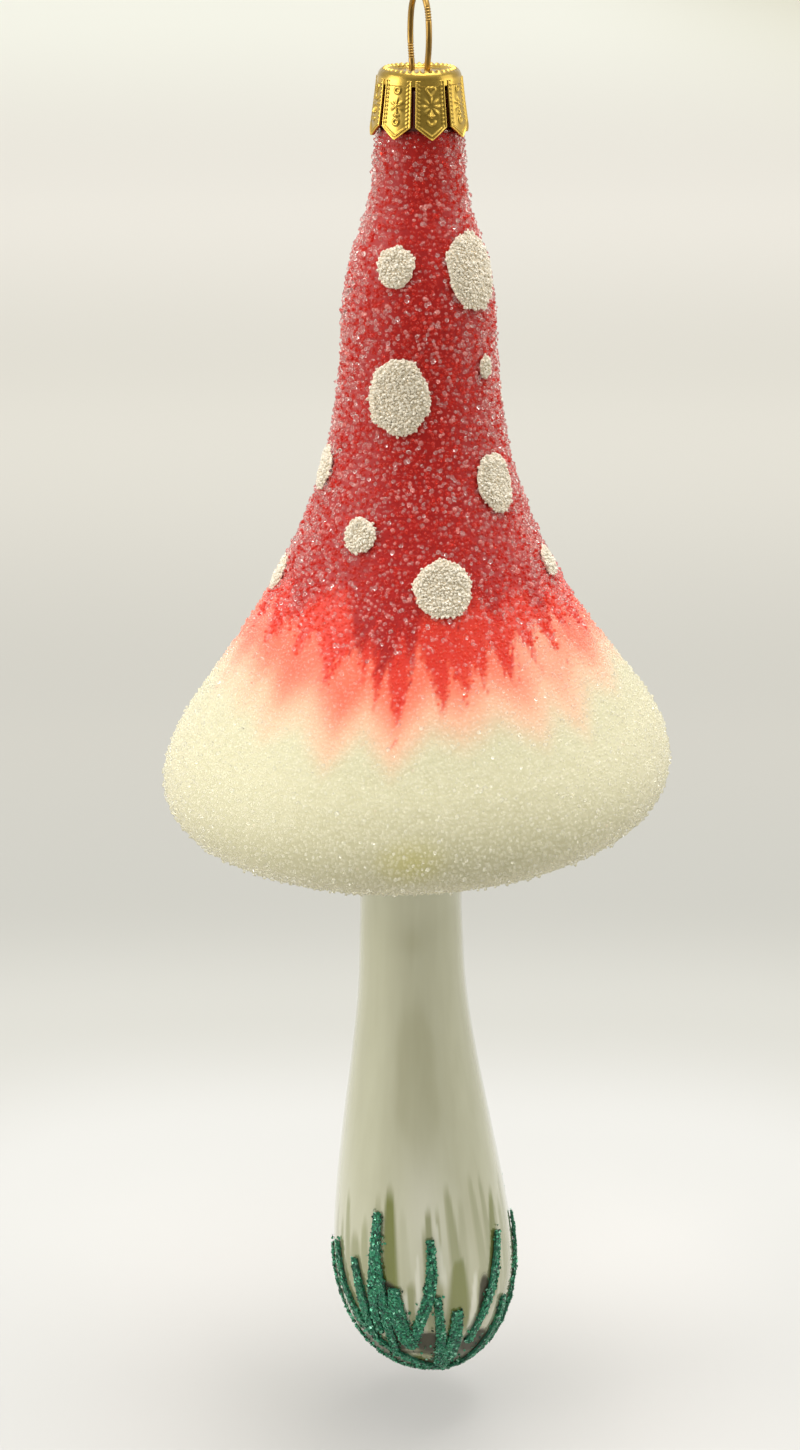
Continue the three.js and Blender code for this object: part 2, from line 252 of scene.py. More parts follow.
def outline_at(s):
    """Radius, height and outward normal at a length s along the outline."""
    r, z, nr, nz = [np.interp(s, outline_s, a) for a in
                    (outline_rz[:, 0], outline_rz[:, 1], outline_n[:, 0], outline_n[:, 1])]
    size = np.hypot(nr, nz)
    return r, z, nr / size, nz / size


# %% [markdown]
# ## The sway of the axis
# Hot glass never hangs quite straight. The stem leaves the bell a little to the left and swings
# to the right, and the bell's rim is higher on its right. One function moves every point of the
# straight figure, so each coat and each patch stays on the glass.

# %% Sway
SWAY_START_Z, STEM_TOP_Z = -85.0, -112.0
SWAY_LEFT, SWAY_SLOPE, SWAY_CURVE = -0.8, 0.00745, 0.000516
TIP_START_Z, TIP_END_Z, TIP_ANGLE = -60.0, -90.0, np.radians(2.3)


def aside(z):
    """Sideways shift: a smooth step to the left, then a parabola to the right below the bell."""
    below = np.maximum(STEM_TOP_Z - z, 0)
    return (SWAY_LEFT * ramp(-SWAY_START_Z, -STEM_TOP_Z, -z)
            + SWAY_SLOPE * below + SWAY_CURVE * below ** 2)


def tipped(z):
    """How far a point rises for each mm to the right: the tip angle's tangent, eased in."""
    return np.tan(TIP_ANGLE) * ramp(-TIP_START_Z, -TIP_END_Z, -z)


def sway(p):
    """Adds to x the shift at that height, and to z the rise times x."""
    x, y, z = np.moveaxis(p, -1, 0)
    return np.stack([x + aside(z), y, z + x * tipped(z)], axis=-1)


def unsway(p):
    """The straight figure's point again, found by three rounds of taking the sway off."""
    x, y, low = np.moveaxis(p, -1, 0)
    z = low
    for _ in range(3):
        z = low - (x - aside(z)) * tipped(z)
    return np.stack([x - aside(z), y, z], axis=-1)


def on_glass(s, azimuth, out):
    """The point `out` mm off the glass at a length s along the outline and an azimuth."""
    r, z, nr, nz = outline_at(s)
    return sway(polar(np.maximum(r + nr * out, 0.0), azimuth, z + nz * out))


def outward(s, azimuth):
    """The arrow off the glass: the cross product of the way down it and the way to the right."""
    right = unit(on_glass(s, azimuth + 0.01, 0) - on_glass(s, azimuth - 0.01, 0))
    down = unit(on_glass(s + 0.05, azimuth, 0) - on_glass(s - 0.05, azimuth, 0))
    return unit(np.cross(down, right))


# %% [markdown]
# ## Materials
# `new_material` makes a Principled material and sets its plain sockets. Patterns are small node
# trees on Object coordinates or on the paint attribute. The fine mottling that paint, lacquer and
# metal share is one node group, used with other sizes and strengths in each of them.

# %% Material helpers
def new_material(name, **sockets):
    """A Principled material with the named sockets set on the shader itself."""
    material = bpy.data.materials.new(name)
    material.use_nodes = True
    shader = material.node_tree.nodes["Principled BSDF"]
    for key, value in sockets.items():
        shader.inputs[key.replace("_", " ")].default_value = value
    return material, material.node_tree, shader


def node(tree, kind, **values):
    """Adds a node; a value names one of its inputs, or one of its properties."""
    made = tree.nodes.new(kind)
    for key, value in values.items():
        if key in made.inputs:
            made.inputs[key].default_value = value
        else:
            setattr(made, key, value)
    return made


def feed(tree, socket, value):
    """Links a node's output to a socket, or sets the socket to a plain number or colour."""
    if hasattr(value, "links"):
        tree.links.new(value, socket)
    else:
        socket.default_value = (*value, 1.0) if socket.type == "RGBA" else value


def drive(tree, shader, **outputs):
    """Links node outputs to the named sockets of a shader."""
    for key, output in outputs.items():
        tree.links.new(output, shader.inputs[key.replace("_", " ")])


def maths(tree, operation, *values, clamp=False):
    """The output of a Math node on one or two values, each of them a link or a number."""
    made = node(tree, "ShaderNodeMath", operation=operation, use_clamp=clamp)
    for socket, value in zip(made.inputs, values):
        feed(tree, socket, value)
    return made.outputs[0]


def span(tree, value, low=0.0, high=1.0, start=0.0, end=1.0, kind="LINEAR"):
    """Carries the values from start to end over to low to high, and holds them beyond."""
    made = node(tree, "ShaderNodeMapRange", interpolation_type=kind)
    for key, number in (("From Min", start), ("From Max", end), ("To Min", low), ("To Max", high)):
        made.inputs[key].default_value = number
    tree.links.new(value, made.inputs["Value"])
    return made.outputs["Result"]


def axes(tree, source="Object"):
    """The X, Y and Z of a texture coordinate."""
    place, parts = tree.nodes.new("ShaderNodeTexCoord"), tree.nodes.new("ShaderNodeSeparateXYZ")
    tree.links.new(place.outputs[source], parts.inputs[0])
    return parts.outputs


def mottle_group():
    """Object-space mottling: noise stretched by three scales, eased into 0..1 about a middle."""
    tree = bpy.data.node_groups.new("mottle", "ShaderNodeTree")
    for name, value in (("Wide", 200.0), ("Tall", 200.0), ("Detail", 3.0), ("Contrast", 1.0)):
        socket = tree.interface.new_socket(name, in_out="INPUT", socket_type="NodeSocketFloat")
        socket.default_value = value
    tree.interface.new_socket("Mask", in_out="OUTPUT", socket_type="NodeSocketFloat")
    enter, leave = tree.nodes.new("NodeGroupInput"), tree.nodes.new("NodeGroupOutput")
    place, scale = tree.nodes.new("ShaderNodeTexCoord"), tree.nodes.new("ShaderNodeCombineXYZ")
    for axis, key in (("X", "Wide"), ("Y", "Wide"), ("Z", "Tall")):
        tree.links.new(enter.outputs[key], scale.inputs[axis])
    times = node(tree, "ShaderNodeVectorMath", operation="MULTIPLY")
    tree.links.new(place.outputs["Object"], times.inputs[0])
    tree.links.new(scale.outputs[0], times.inputs[1])
    noise = node(tree, "ShaderNodeTexNoise", Scale=1.0, Roughness=0.6)
    tree.links.new(times.outputs[0], noise.inputs["Vector"])
    tree.links.new(enter.outputs["Detail"], noise.inputs["Detail"])
    gain = maths(tree, "MULTIPLY", maths(tree, "SUBTRACT", noise.outputs["Fac"], 0.5),
                 enter.outputs["Contrast"])
    tree.links.new(maths(tree, "ADD", gain, 0.5, clamp=True), leave.inputs["Mask"])
    return tree


MOTTLE = mottle_group()


def mottle(tree, wide, tall, contrast=1.0, detail=3.0):
    """Places the shared mottling in a material and gives its Mask output."""
    made = tree.nodes.new("ShaderNodeGroup")
    made.node_tree = MOTTLE
    for key, value in (("Wide", wide), ("Tall", tall), ("Detail", detail), ("Contrast", contrast)):
        made.inputs[key].default_value = value
    return made.outputs["Mask"]


def blend(tree, mask, below, above):
    """A colour mix: `below` where the mask is 0, `above` where it is 1. Either may be a link."""
    mix = node(tree, "ShaderNodeMix", data_type="RGBA")
    feed(tree, next(s for s in mix.inputs if s.type == "VALUE" and s.enabled), mask)
    for socket, value in zip([s for s in mix.inputs if s.type == "RGBA"], (below, above)):
        feed(tree, socket, value)
    return next(s for s in mix.outputs if s.type == "RGBA")


def bump(tree, shader, height, strength, distance):
    """A Bump node from a height value to the shader's Normal."""
    made = node(tree, "ShaderNodeBump", Strength=strength, Distance=distance)
    tree.links.new(height, made.inputs["Height"])
    tree.links.new(made.outputs["Normal"], shader.inputs["Normal"])


def speckled(name, wide, tall, contrast, low, high, **sockets):
    """A material whose colour goes from low to high with a fine mottling, which it gives too."""
    material, tree, shader = new_material(name, **sockets)
    speck = mottle(tree, wide, tall, contrast, 4.0)
    drive(tree, shader, Base_Color=blend(tree, speck, low, high))
    return material, tree, shader, speck


def attribute(tree, name):
    """The three channels of a colour attribute."""
    read = node(tree, "ShaderNodeAttribute", attribute_name=name)
    parts = tree.nodes.new("ShaderNodeSeparateColor")
    tree.links.new(read.outputs["Color"], parts.inputs[0])
    return parts.outputs


# %% [markdown]
# ## Floor, room and light
# The ornament hangs just above a white table in a light tent. The floor is one large square whose
# paint is pale near the ornament, greyer where the table ends and lighter again far away. The
# room is bright above and at the sides and dimmer on the viewer's side, which is what gives the
# glossy stem its darker middle.

# %% Floor
FLOOR_Z = cad_box[0].z / MM - 8.0
FLOOR_HALF = 6000.0
FLOOR_CORNERS = np.array([[-1, -1], [1, -1], [1, 1], [-1, 1]]) * FLOOR_HALF
floor = put_mesh("table_floor", np.column_stack([FLOOR_CORNERS, np.full(4, FLOOR_Z)]),
                 [[[0, 1, 2, 3]]], smooth=False)

material, tree, shader = new_material("tent_floor", Roughness=0.7, Specular_IOR_Level=0.2)
place = axes(tree)
# The square root of the distance out along a rounded square, in such units that it is 1 at 2 m.
fourth = [maths(tree, "POWER", maths(tree, "ABSOLUTE", place[axis]), 4.0) for axis in "XY"]
reach = maths(tree, "DIVIDE", maths(tree, "POWER", maths(tree, "ADD", *fourth), 0.125), 2.0 ** 0.5)
tones = tree.nodes.new("ShaderNodeValToRGB")
FLOOR_TONES = [
    (0.0, (0.595, 0.575, 0.575)), (0.120, (0.59, 0.575, 0.57)), (0.190, (0.53, 0.525, 0.52)),
    (0.238, (0.445, 0.44, 0.42)), (0.283, (0.385, 0.38, 0.36)), (0.36, (0.415, 0.405, 0.38)),
    (0.53, (0.59, 0.57, 0.53)), (0.69, (0.76, 0.73, 0.69)), (0.95, (0.90, 0.895, 0.83))]
while len(tones.color_ramp.elements) < len(FLOOR_TONES):
    tones.color_ramp.elements.new(0.5)
for element, (where, colour) in zip(tones.color_ramp.elements, FLOOR_TONES):
    element.position = where
    element.color = (*colour, 1.0)
tones.color_ramp.interpolation = "EASE"
tree.links.new(reach, tones.inputs["Fac"])
# A dark wedge on the viewer's side, out of view, which only the glass mirrors.
viewer = span(tree, place["Y"], start=-0.165, end=-0.205, kind="SMOOTHSTEP")
slant = maths(tree, "ADD", maths(tree, "DIVIDE", place["X"], place["Y"]), 0.25)
narrow = span(tree, maths(tree, "ABSOLUTE", slant), start=2.2, end=1.1, kind="SMOOTHSTEP")
toned = blend(tree, maths(tree, "MULTIPLY", viewer, narrow), tones.outputs["Color"],
              (0.22, 0.21, 0.16))
# The far right corner is a little darker and warmer.
corner = [span(tree, place[axis], start=near, end=far, kind="SMOOTHSTEP")
          for axis, near, far in (("X", 0.10, 0.42), ("Y", 0.7, 2.3))]
toned = blend(tree, maths(tree, "MULTIPLY", *corner), toned, (0.70, 0.67, 0.54))
drive(tree, shader, Base_Color=toned)
floor.data.materials.append(material)

# %% Room light
world = bpy.data.worlds.new("light_tent")
world.use_nodes = True
bpy.context.scene.world = world
tree = world.node_tree
background = tree.nodes["Background"]
place = axes(tree, "Generated")
flat = tree.nodes.new("ShaderNodeCombineXYZ")
for axis in "XY":
    tree.links.new(place[axis], flat.inputs[axis])
heading = node(tree, "ShaderNodeVectorMath", operation="NORMALIZE")
tree.links.new(flat.outputs[0], heading.inputs[0])
toward = node(tree, "ShaderNodeVectorMath", operation="DOT_PRODUCT")
tree.links.new(heading.outputs[0], toward.inputs[0])
VIEWER_TURN = np.radians(10.0)
toward.inputs[1].default_value = (np.sin(VIEWER_TURN), -np.cos(VIEWER_TURN), 0.0)
viewer_side = span(tree, toward.outputs["Value"], start=0.35, end=0.75, kind="SMOOTHSTEP")
overhead = span(tree, place["Z"], start=0.3, end=0.75, kind="SMOOTHSTEP")
sides = blend(tree, viewer_side, (0.95, 0.95, 0.90), (0.30, 0.295, 0.25))
tree.links.new(blend(tree, overhead, sides, (1.0, 1.0, 0.95)), background.inputs["Color"])
background.inputs["Strength"].default_value = 1.08


def softbox(name, at, size, power, colour):
    """An area light: a square panel of `size` metres at `at` that faces the ornament's middle."""
    data = bpy.data.lights.new(name, "AREA")
    data.size, data.energy, data.color = size, power, colour
    lamp = bpy.data.objects.new(name, data)
    lamp.location = at
    lamp.rotation_mode = "QUATERNION"
    lamp.rotation_quaternion = (Vector((0, 0, -0.09)) - Vector(at)).to_track_quat("-Z", "Y")
    bpy.context.scene.collection.objects.link(lamp)


softbox("top_panel", (0.06, 0.05, 0.55), 0.45, 3.0, (1.0, 0.99, 0.96))
softbox("left_panel", (-0.5, -0.12, 0.1), 0.35, 1.4, (1.0, 0.98, 0.94))
softbox("right_panel", (0.5, -0.05, 0.12), 0.35, 0.6, (1.0, 1.0, 0.97))
bpy.context.scene.view_settings.view_transform = "Standard"
print("floor at mm:", round(FLOOR_Z, 1))

# %% [markdown]
# ## The blown shell
# One closed skin: the outside from the tip up to the neck's rim, over the rim, and the inside
# down again to the tip. The pearl lacquer and the air-brushed leaves are paint, so they are
# colours at the points of this skin, worked out from each leaf's azimuth, height and width.

# %% Shell and its painted foot
WALL = 0.9
AROUND = 256


def turned_skin(name, s_out, s_in, inner):
    """Rows of points round the axis for the lengths s_out on the glass, then for s_in at the
    offset inner. Both start and end at the tip, where one point closes each side."""
    azimuth, rows = all_round(AROUND), len(s_out) + len(s_in)
    s = np.concatenate([s_out, s_in])
    off = np.repeat([0.0, inner], [len(s_out), len(s_in)])
    points = on_glass(s[:, None], azimuth, off[:, None]).reshape(-1, 3)
    poles = on_glass(np.full(2, END_S), np.zeros(2), np.array([0.0, inner]))
    made = put_mesh(name, np.concatenate([points, poles]),
                    [grid_faces(rows, AROUND, wrap_columns=True),
                     np.concatenate([fan(0, AROUND, rows * AROUND, flip=True),
                                     fan((rows - 1) * AROUND, AROUND, rows * AROUND + 1)])])
    grid_s = np.concatenate([np.repeat(s, AROUND), [END_S, END_S]])
    return made, grid_s, wrap(np.degrees(np.concatenate([np.tile(azimuth, rows), [0.0, 0.0]])))


S_STEM, S_FOOT = at_height(-104.0, True), at_height(-146.0, True)
s_outside = np.concatenate([np.linspace(END_S - 0.25, S_FOOT, 130),
                            np.linspace(S_FOOT, S_STEM, 50)[1:], np.linspace(S_STEM, 0.0, 60)[1:]])
shell, shell_s, shell_a = turned_skin("glass_shell", s_outside, np.linspace(0.0, END_S - 0.6, 44),
                                      -WALL)

# %% [markdown]
# Each blade is wide at the bottom and runs up to a point. Its strength fades at the edge and
# towards the tip, as paint from an air-brush does. Dark grey-brown patches lie among the blades
# low on the foot, and pale streaks are the gaps that the brush left. The blades and patches round
# the back follow short formulas, with the same sizes as those in front.

# %% Paint of the foot
# Each row: azimuth and height of the tip, azimuth and height of the bottom, half width, strength.
BLADES = [
    (-20.5, -147.5, -21.5, -165, 1.3, 0.95), (-49, -156, -47, -168, 1.6, 0.55),
    (6, -150.5, 4, -163, 0.8, 0.75), (-7.5, -161, -10, -172.5, 1.2, 0.65),
    (24, -158, 21, -169, 1.9, 0.85), (59.5, -151, 49, -165, 1.1, 0.85),
    (70, -158, 62, -170, 1.5, 0.45), (-75, -157, -66, -170, 1.5, 0.5),
    (-34, -160, -35, -172, 1.3, 0.4), (2, -170.5, -6, -178.5, 2, 0.8),
    (40, -161, 34, -171, 1, 0.35)]
FAINT_DRAW, FAINT_COUNT = np.random.default_rng(31), 38
FAINT = [(a, z, a + lean, z - 16.0, half, strength) for a, z, lean, half, strength in zip(
    np.arange(-180, 180, 9.5) + FAINT_DRAW.uniform(-3, 3, FAINT_COUNT),
    *[FAINT_DRAW.uniform(low, high, FAINT_COUNT)
      for low, high in ((-158, -146), (-4, 4), (0.4, 1.0), (0.15, 0.6))])]
BACK_BLADES = [(a + 7.0 * np.sin(a), -151.0 - 4.0 * np.sin(2.1 * a) ** 2, a, -167.0,
                1.2 + 0.5 * np.cos(a), 0.75) for a in range(96, 265, 21)]
# Each row: azimuth, height, half width, half height of a dark patch.
DARK_PATCHES = [(-24.5, -164.5, 2, 2.2), (-21.5, -172, 1.7, 2.6), (0.5, -172.3, 2.3, 2.1),
        (41, -166.8, 1.1, 3.8), (35, -174, 2.4, 2.2), (-37, -171, 0.9, 2.6),
        (-55, -171.5, 1.4, 2)]
BACK_DARK_PATCHES = [(a + 5.0 * np.sin(3 * a), -171.5 - 2.0 * np.cos(a), 1.7, 2.3)
             for a in range(98, 270, 24)]
YELLOW_TIP = [(-9, -175.6, 2.2, 0.9)]
# Each row: azimuth at the top, top height, azimuth at the bottom, bottom height, half width.
PALE = [(9.5, -152, 12, -161, 0.45), (-11.5, -163, -13, -171, 0.5),
        (35, -161.5, 30, -171.5, 0.55), (-2.5, -157, -4, -166, 0.35)]
CRUST_TOP_Z, CRUST_LIFT, CRUST_SLANT = -163.0, 1.0, 1.66
SIDE_LOBE = (5.0, 84.0, 13.0)
DARK_BAND_Z = -173.2


def blade_mask(azimuth, z, r, rows):
    """For each blade, one minus the sideways distance over its width there, eased; the strongest
    blade wins. The width grows with the square root of the way down from the tip."""
    mask = np.zeros_like(z)
    for a_top, z_top, a_low, z_low, half, strength in rows:
        t = np.clip((z_top - z) / (z_top - z_low), 0.0, 1.35)
        middle = a_top + (a_low - a_top) * t
        side = np.abs(np.radians(wrap(azimuth - middle))) * r
        width = 1.1 * half * np.sqrt(np.maximum(t, 1e-4)) + 0.05
        inside = 1.0 - ramp(0.55, 1.2, side / width)
        fade = ramp(0.0, 0.22, t) * (1.0 - ramp(1.05, 1.35, t))
        mask = np.maximum(mask, strength * inside * fade)
    return mask


def patch_mask(azimuth, z, r, rows):
    """One inside each oval patch, easing to nothing just past its edge."""
    mask = np.zeros_like(z)
    for a, z_mid, half_w, half_h in rows:
        side = np.radians(wrap(azimuth - a)) * r / half_w
        up = (z - z_mid) / half_h
        mask = np.maximum(mask, 1.0 - ramp(0.8, 1.1, np.hypot(side, up)))
    return mask


def crust_mask(azimuth, z):
    """One below the crust's edge. It lies below the foot's top by the foot's depth times the sine
    of an angle whose tangent is 1.66 cos(azimuth); it wavers, and it rises in a lobe at each
    side."""
    turn, (rise, middle, width) = np.radians(azimuth), SIDE_LOBE
    slant = np.arctan(CRUST_SLANT * np.abs(np.cos(turn)))
    edge = FOOT_TOP_Z - FOOT_DEEP * np.sin(slant) + 0.5 * np.sin(7 * turn) + CRUST_LIFT
    edge += 0.4 * np.sin(17 * turn) + rise * np.exp(-((np.abs(azimuth) - middle) / width) ** 2)
    return ramp(-0.5, 0.5, np.minimum(edge, CRUST_TOP_Z) - z)


shell_r, shell_z, _, _ = outline_at(shell_s)
leaf = blade_mask(shell_a, shell_z, shell_r, BLADES + BACK_BLADES + FAINT)
dark_bottom_band = ramp(-0.6, 0.9, DARK_BAND_Z + 0.8 * np.sin(np.radians(7 * shell_a)) - shell_z)
dark_bottom_band *= 1.0 - patch_mask(shell_a, shell_z, shell_r, YELLOW_TIP)
dark_patch_mask = np.max([patch_mask(shell_a, shell_z, shell_r, DARK_PATCHES + BACK_DARK_PATCHES), 0.85 * dark_bottom_band,
               crust_mask(shell_a, shell_z)], axis=0)
# Painted light: a soft pale patch on the front of the stem, just above the blades.
painted_front_light = np.exp(-((shell_a - 4.0) / 16.0) ** 2 - ((shell_z + 152.0) / 9.0) ** 2)
pale = np.maximum(blade_mask(shell_a, shell_z, shell_r, [(*row, 1.0) for row in PALE]),
                  0.8 * painted_front_light * (1 - leaf))
give_colours(shell, "foot_paint", leaf, dark_patch_mask, pale)

# %% Pearl lacquer
material, tree, shader = new_material("pearl_lacquer", Roughness=0.14, Metallic=0.3,
                                      Coat_Weight=1.0, Coat_Roughness=0.02, IOR=1.5)
streaks = mottle(tree, 260.0, 14.0, 1.3)
cloud = mottle(tree, 60.0, 22.0, 1.2)
pearl = blend(tree, streaks, (0.45, 0.44, 0.305), (0.61, 0.605, 0.46))
pearl = blend(tree, span(tree, cloud, 0.0, 0.5), pearl, (0.52, 0.515, 0.36))
paint = attribute(tree, "foot_paint")
green_haze = blend(tree, streaks, (0.115, 0.135, 0.004), (0.19, 0.212, 0.016))
colour = blend(tree, paint[0], pearl, green_haze)
# The third channel paints the pale brush gaps and the painted light on the front of the stem.
colour = blend(tree, span(tree, paint[2], 0.0, 0.7), colour, (0.80, 0.79, 0.68))
# The second channel darkens the patches, the band at the foot's bottom and the gaps in the crust.
colour = blend(tree, paint[1], colour, (0.075, 0.07, 0.045))
# The red dip reaches onto the neck under the cap, in a darker red that is partly painted shade
# inside the cap's slots: heights in metres.
dipped_and_shaded = span(tree, axes(tree)["Z"], start=-0.0165, end=-0.0155)
colour = blend(tree, dipped_and_shaded, colour, (0.16, 0.012, 0.010))
drive(tree, shader, Base_Color=colour, Coat_Weight=span(tree, paint[1], 1.0, 0.1),
      Roughness=span(tree, paint[1], 0.14, 0.6))
bump(tree, shader, cloud, 0.04, 0.0004)
declare(shell, material, "lacquered_glass", "glass_body")

# %% [markdown]
# ## The painted bed of the coat
# Under the grains lies a film of glue over paint: deep red down the cone, ragged scarlet runs at
# its edge, a coral fade below them, then cream. The edge follows the azimuth: each run is a
# narrow bump pulled down from a wavering line, and the coral has wider, softer ones.

# %% Bed of paint and glue
BED_IN = 0.04
BED_TOP_S, BED_END_S = at_height(-14.2), at_height(-106.0, True)
RED_Z, CORAL_Z = -69.5, -78.6
# Each row: azimuth, how far the run reaches down in mm, its half width in degrees.
RED_RUNS = [(-66, 4, 9), (-47, 3.6, 5), (-31, 5.4, 8), (-19, 4.4, 4.5), (-13.5, 6.4, 4),
            (-6.5, 9.2, 4.6), (7, 8.2, 5), (14.5, 6.6, 6), (21, 5.2, 6), (31, 5.6, 6),
            (43, 4.4, 5), (54, 5, 5), (66, 3.2, 5), (80, 5, 8), (-84, 4.6, 7)]
BACK_RUNS = [(a, 5.0 + 2.8 * np.sin(1.7 * a), 6.5 + 1.5 * np.cos(2.3 * a))
             for a in range(96, 270, 13)]
DEEP_Z = -66.0
DEEP_RUNS = [(-12, 8.5, 7), (-22, 6, 5), (-3, 7.5, 4), (-58, 3.5, 9), (-85, 3, 9),
             (13, 2.8, 5), (32, 2.4, 6), (58, 2.6, 7), (78, 3.6, 9)]
BACK_DEEP = [(a, 4.0 + 3.0 * np.sin(2.1 * a), 6.0) for a in range(100, 262, 23)]
CORAL_RUNS = [(-60, 1.8, 12), (-45, 3, 9), (-24, 4.4, 8), (-7, 4.6, 8), (12, 2.4, 10),
              (34, 3.6, 9), (48, 4.2, 8), (70, 2.4, 10), (-80, 2.2, 9)]
BACK_CORAL = [(a, 3.0 + 1.4 * np.cos(1.3 * a), 9.0) for a in range(98, 270, 18)]


def bed_lift(s):
    """The bed's height over the glass: thin on the cone, thicker where the bell widens."""
    return 0.16 + 0.18 * ramp(at_height(-60.0), at_height(-80.0), s)


def runs(azimuth, rows):
    """How far down the paint runs at each azimuth: the furthest of its pointed bumps, each one
    the run's length times exp(-(distance / half width)^1.4)."""
    reach = np.zeros_like(azimuth)
    for a, length, half in rows:
        reach = np.maximum(reach, length * np.exp(-np.abs(wrap(azimuth - a) / half) ** 1.4))
    return reach


def waver(azimuth, seed, scale):
    """A sum of seven sines round the axis with seeded phases, which closes on itself."""
    draw = np.random.default_rng(seed)
    turn = np.radians(azimuth)
    return scale * np.sum([np.sin(k * turn + draw.uniform(0, 6.28)) / k ** 0.5
                           for k in (3, 5, 9, 14, 23, 37, 61)], axis=0)


def cone_paint(azimuth, z, above_rim):
    """Strengths of red, of coral and of the deepest red at azimuths in degrees and heights."""
    red_edge = RED_Z - runs(azimuth, RED_RUNS + BACK_RUNS) + waver(azimuth, 4, 0.35)
    coral_edge = CORAL_Z - runs(azimuth, CORAL_RUNS + BACK_CORAL) + waver(azimuth, 9, 0.25)
    red = ramp(-1.1, 1.5, z - red_edge) * above_rim
    coral = ramp(-2.0, 7.0, z - coral_edge) * above_rim
    coral *= 1 - 0.35 * np.exp(-((azimuth - 46) / 16) ** 2)
    deep_edge = DEEP_Z - runs(azimuth, DEEP_RUNS + BACK_DEEP)
    deep = ramp(-1.5, 1.5, z - deep_edge + waver(azimuth, 21, 0.7)) * above_rim
    return red, coral, deep


BED_AROUND, BED_ROWS, SPATTER = 400, 200, 0.55
bed_azimuth = all_round(BED_AROUND)
bed_s = np.linspace(BED_TOP_S, BED_END_S, BED_ROWS)
bed_lengths = np.concatenate([bed_s, bed_s[::-5]])
bed_out = np.concatenate([bed_lift(bed_s), np.full(len(bed_s[::-5]), BED_IN)])
bed_rows = len(bed_lengths)
bed = put_mesh("grain_bed", on_glass(bed_lengths[:, None], bed_azimuth, bed_out[:, None]),
               [grid_faces(bed_rows, BED_AROUND, True, True)])

bed_a = wrap(np.degrees(np.tile(bed_azimuth, bed_rows)))
bed_r, bed_z = np.repeat(outline_at(bed_lengths)[:2], BED_AROUND, axis=1)
bed_upper = np.repeat(bed_lengths < outline_s[WIDEST], BED_AROUND)
# The red edge is spattered: a normal draw with now and then a far larger one.
bed_draw = np.random.default_rng(5)
spatter = bed_draw.normal(0, 1, len(bed_z)) * np.exp(bed_draw.normal(0, 0.5, len(bed_z)))
red, _, deep = cone_paint(bed_a, bed_z + SPATTER * spatter, bed_upper)
give_colours(bed, "cone_paint", red, cone_paint(bed_a, bed_z, bed_upper)[1], deep)
# The yellowish patch low on the front is a stack of nested ovals, so that its edge is soft.
yellow = 0.6 * np.mean([patch_mask(bed_a, bed_z, bed_r, [(-1.5, -92.4, 4.8 * part, 3.2 * part)])
                        for part in (0.3, 0.5, 0.7, 0.85, 1.0)], axis=0)
give_colours(bed, "cone_patch", yellow, yellow, yellow)

# %% Paint under the grains
material, tree, shader = new_material("painted_glue", Roughness=0.45, Specular_IOR_Level=0.3,
                                      Sheen_Weight=0.35, Sheen_Roughness=0.4,
                                      Sheen_Tint=(1.0, 0.86, 0.84, 1.0))
paint = attribute(tree, "cone_paint")
speck = mottle(tree, 900.0, 900.0, 1.5, 4.0)
washes = mottle(tree, 180.0, 60.0, 1.4)
cream = blend(tree, speck, (0.55, 0.515, 0.325), (0.66, 0.625, 0.44))
blush = blend(tree, washes, (0.84, 0.39, 0.24), (0.87, 0.47, 0.31))
coral_red = blend(tree, washes, (0.84, 0.11, 0.055), (0.90, 0.19, 0.11))
scarlet = blend(tree, washes, (0.62, 0.018, 0.010), (0.72, 0.045, 0.022))
crimson = blend(tree, speck, (0.30, 0.003, 0.003), (0.46, 0.009, 0.006))
# Coral's strength runs from cream over blush in its lower half to coral red in its upper half.
colour = blend(tree, span(tree, paint[1], end=0.5), cream, blush)
colour = blend(tree, span(tree, paint[1], start=0.5), colour, coral_red)
colour = blend(tree, span(tree, attribute(tree, "cone_patch")[0]), colour, (0.60, 0.545, 0.19))
colour = blend(tree, paint[0], colour, blend(tree, paint[2], scarlet, crimson))
drive(tree, shader, Base_Color=colour)
bump(tree, shader, speck, 0.3, 0.0002)
declare(bed, material, "grain_coat", "bead_frosting")

# %% [markdown]
# ## The grains
# The sparkle comes from tens of thousands of real grains, each a chipped lump of clear glass with
# twenty faces, stuck to the glue at every angle. They are laid in rings, each ring with as many
# grains as fit, and then shaken, which covers the bell evenly without a visible pattern.

# %% Grain helpers
GOLDEN = (1 + 5 ** 0.5) / 2
ICO_POINTS = np.array([[-1, GOLDEN, 0], [1, GOLDEN, 0], [-1, -GOLDEN, 0], [1, -GOLDEN, 0],
                       [0, -1, GOLDEN], [0, 1, GOLDEN], [0, -1, -GOLDEN], [0, 1, -GOLDEN],
                       [GOLDEN, 0, -1], [GOLDEN, 0, 1], [-GOLDEN, 0, -1], [-GOLDEN, 0, 1]])
ICO_POINTS /= np.linalg.norm(ICO_POINTS[0])
ICO_FACES = np.array([[0, 11, 5], [0, 5, 1], [0, 1, 7], [0, 7, 10], [0, 10, 11], [1, 5, 9],
                      [5, 11, 4], [11, 10, 2], [10, 7, 6], [7, 1, 8], [3, 9, 4], [3, 4, 2],
                      [3, 2, 6], [3, 6, 8], [3, 8, 9], [4, 9, 5], [2, 4, 11], [6, 2, 10],
                      [8, 6, 7], [9, 8, 1]])


def turns(draw, count):
    """Random rotations: unit quaternions of four normal draws, written out as matrices."""
    q = draw.normal(size=(count, 4))
    w, x, y, z = (q / np.linalg.norm(q, axis=1, keepdims=True)).T
    return np.stack([1 - 2 * (y * y + z * z), 2 * (x * y - w * z), 2 * (x * z + w * y),
                     2 * (x * y + w * z), 1 - 2 * (x * x + z * z), 2 * (y * z - w * x),
                     2 * (x * z - w * y), 2 * (y * z + w * x), 1 - 2 * (x * x + y * y)],
                    axis=1).reshape(-1, 3, 3)


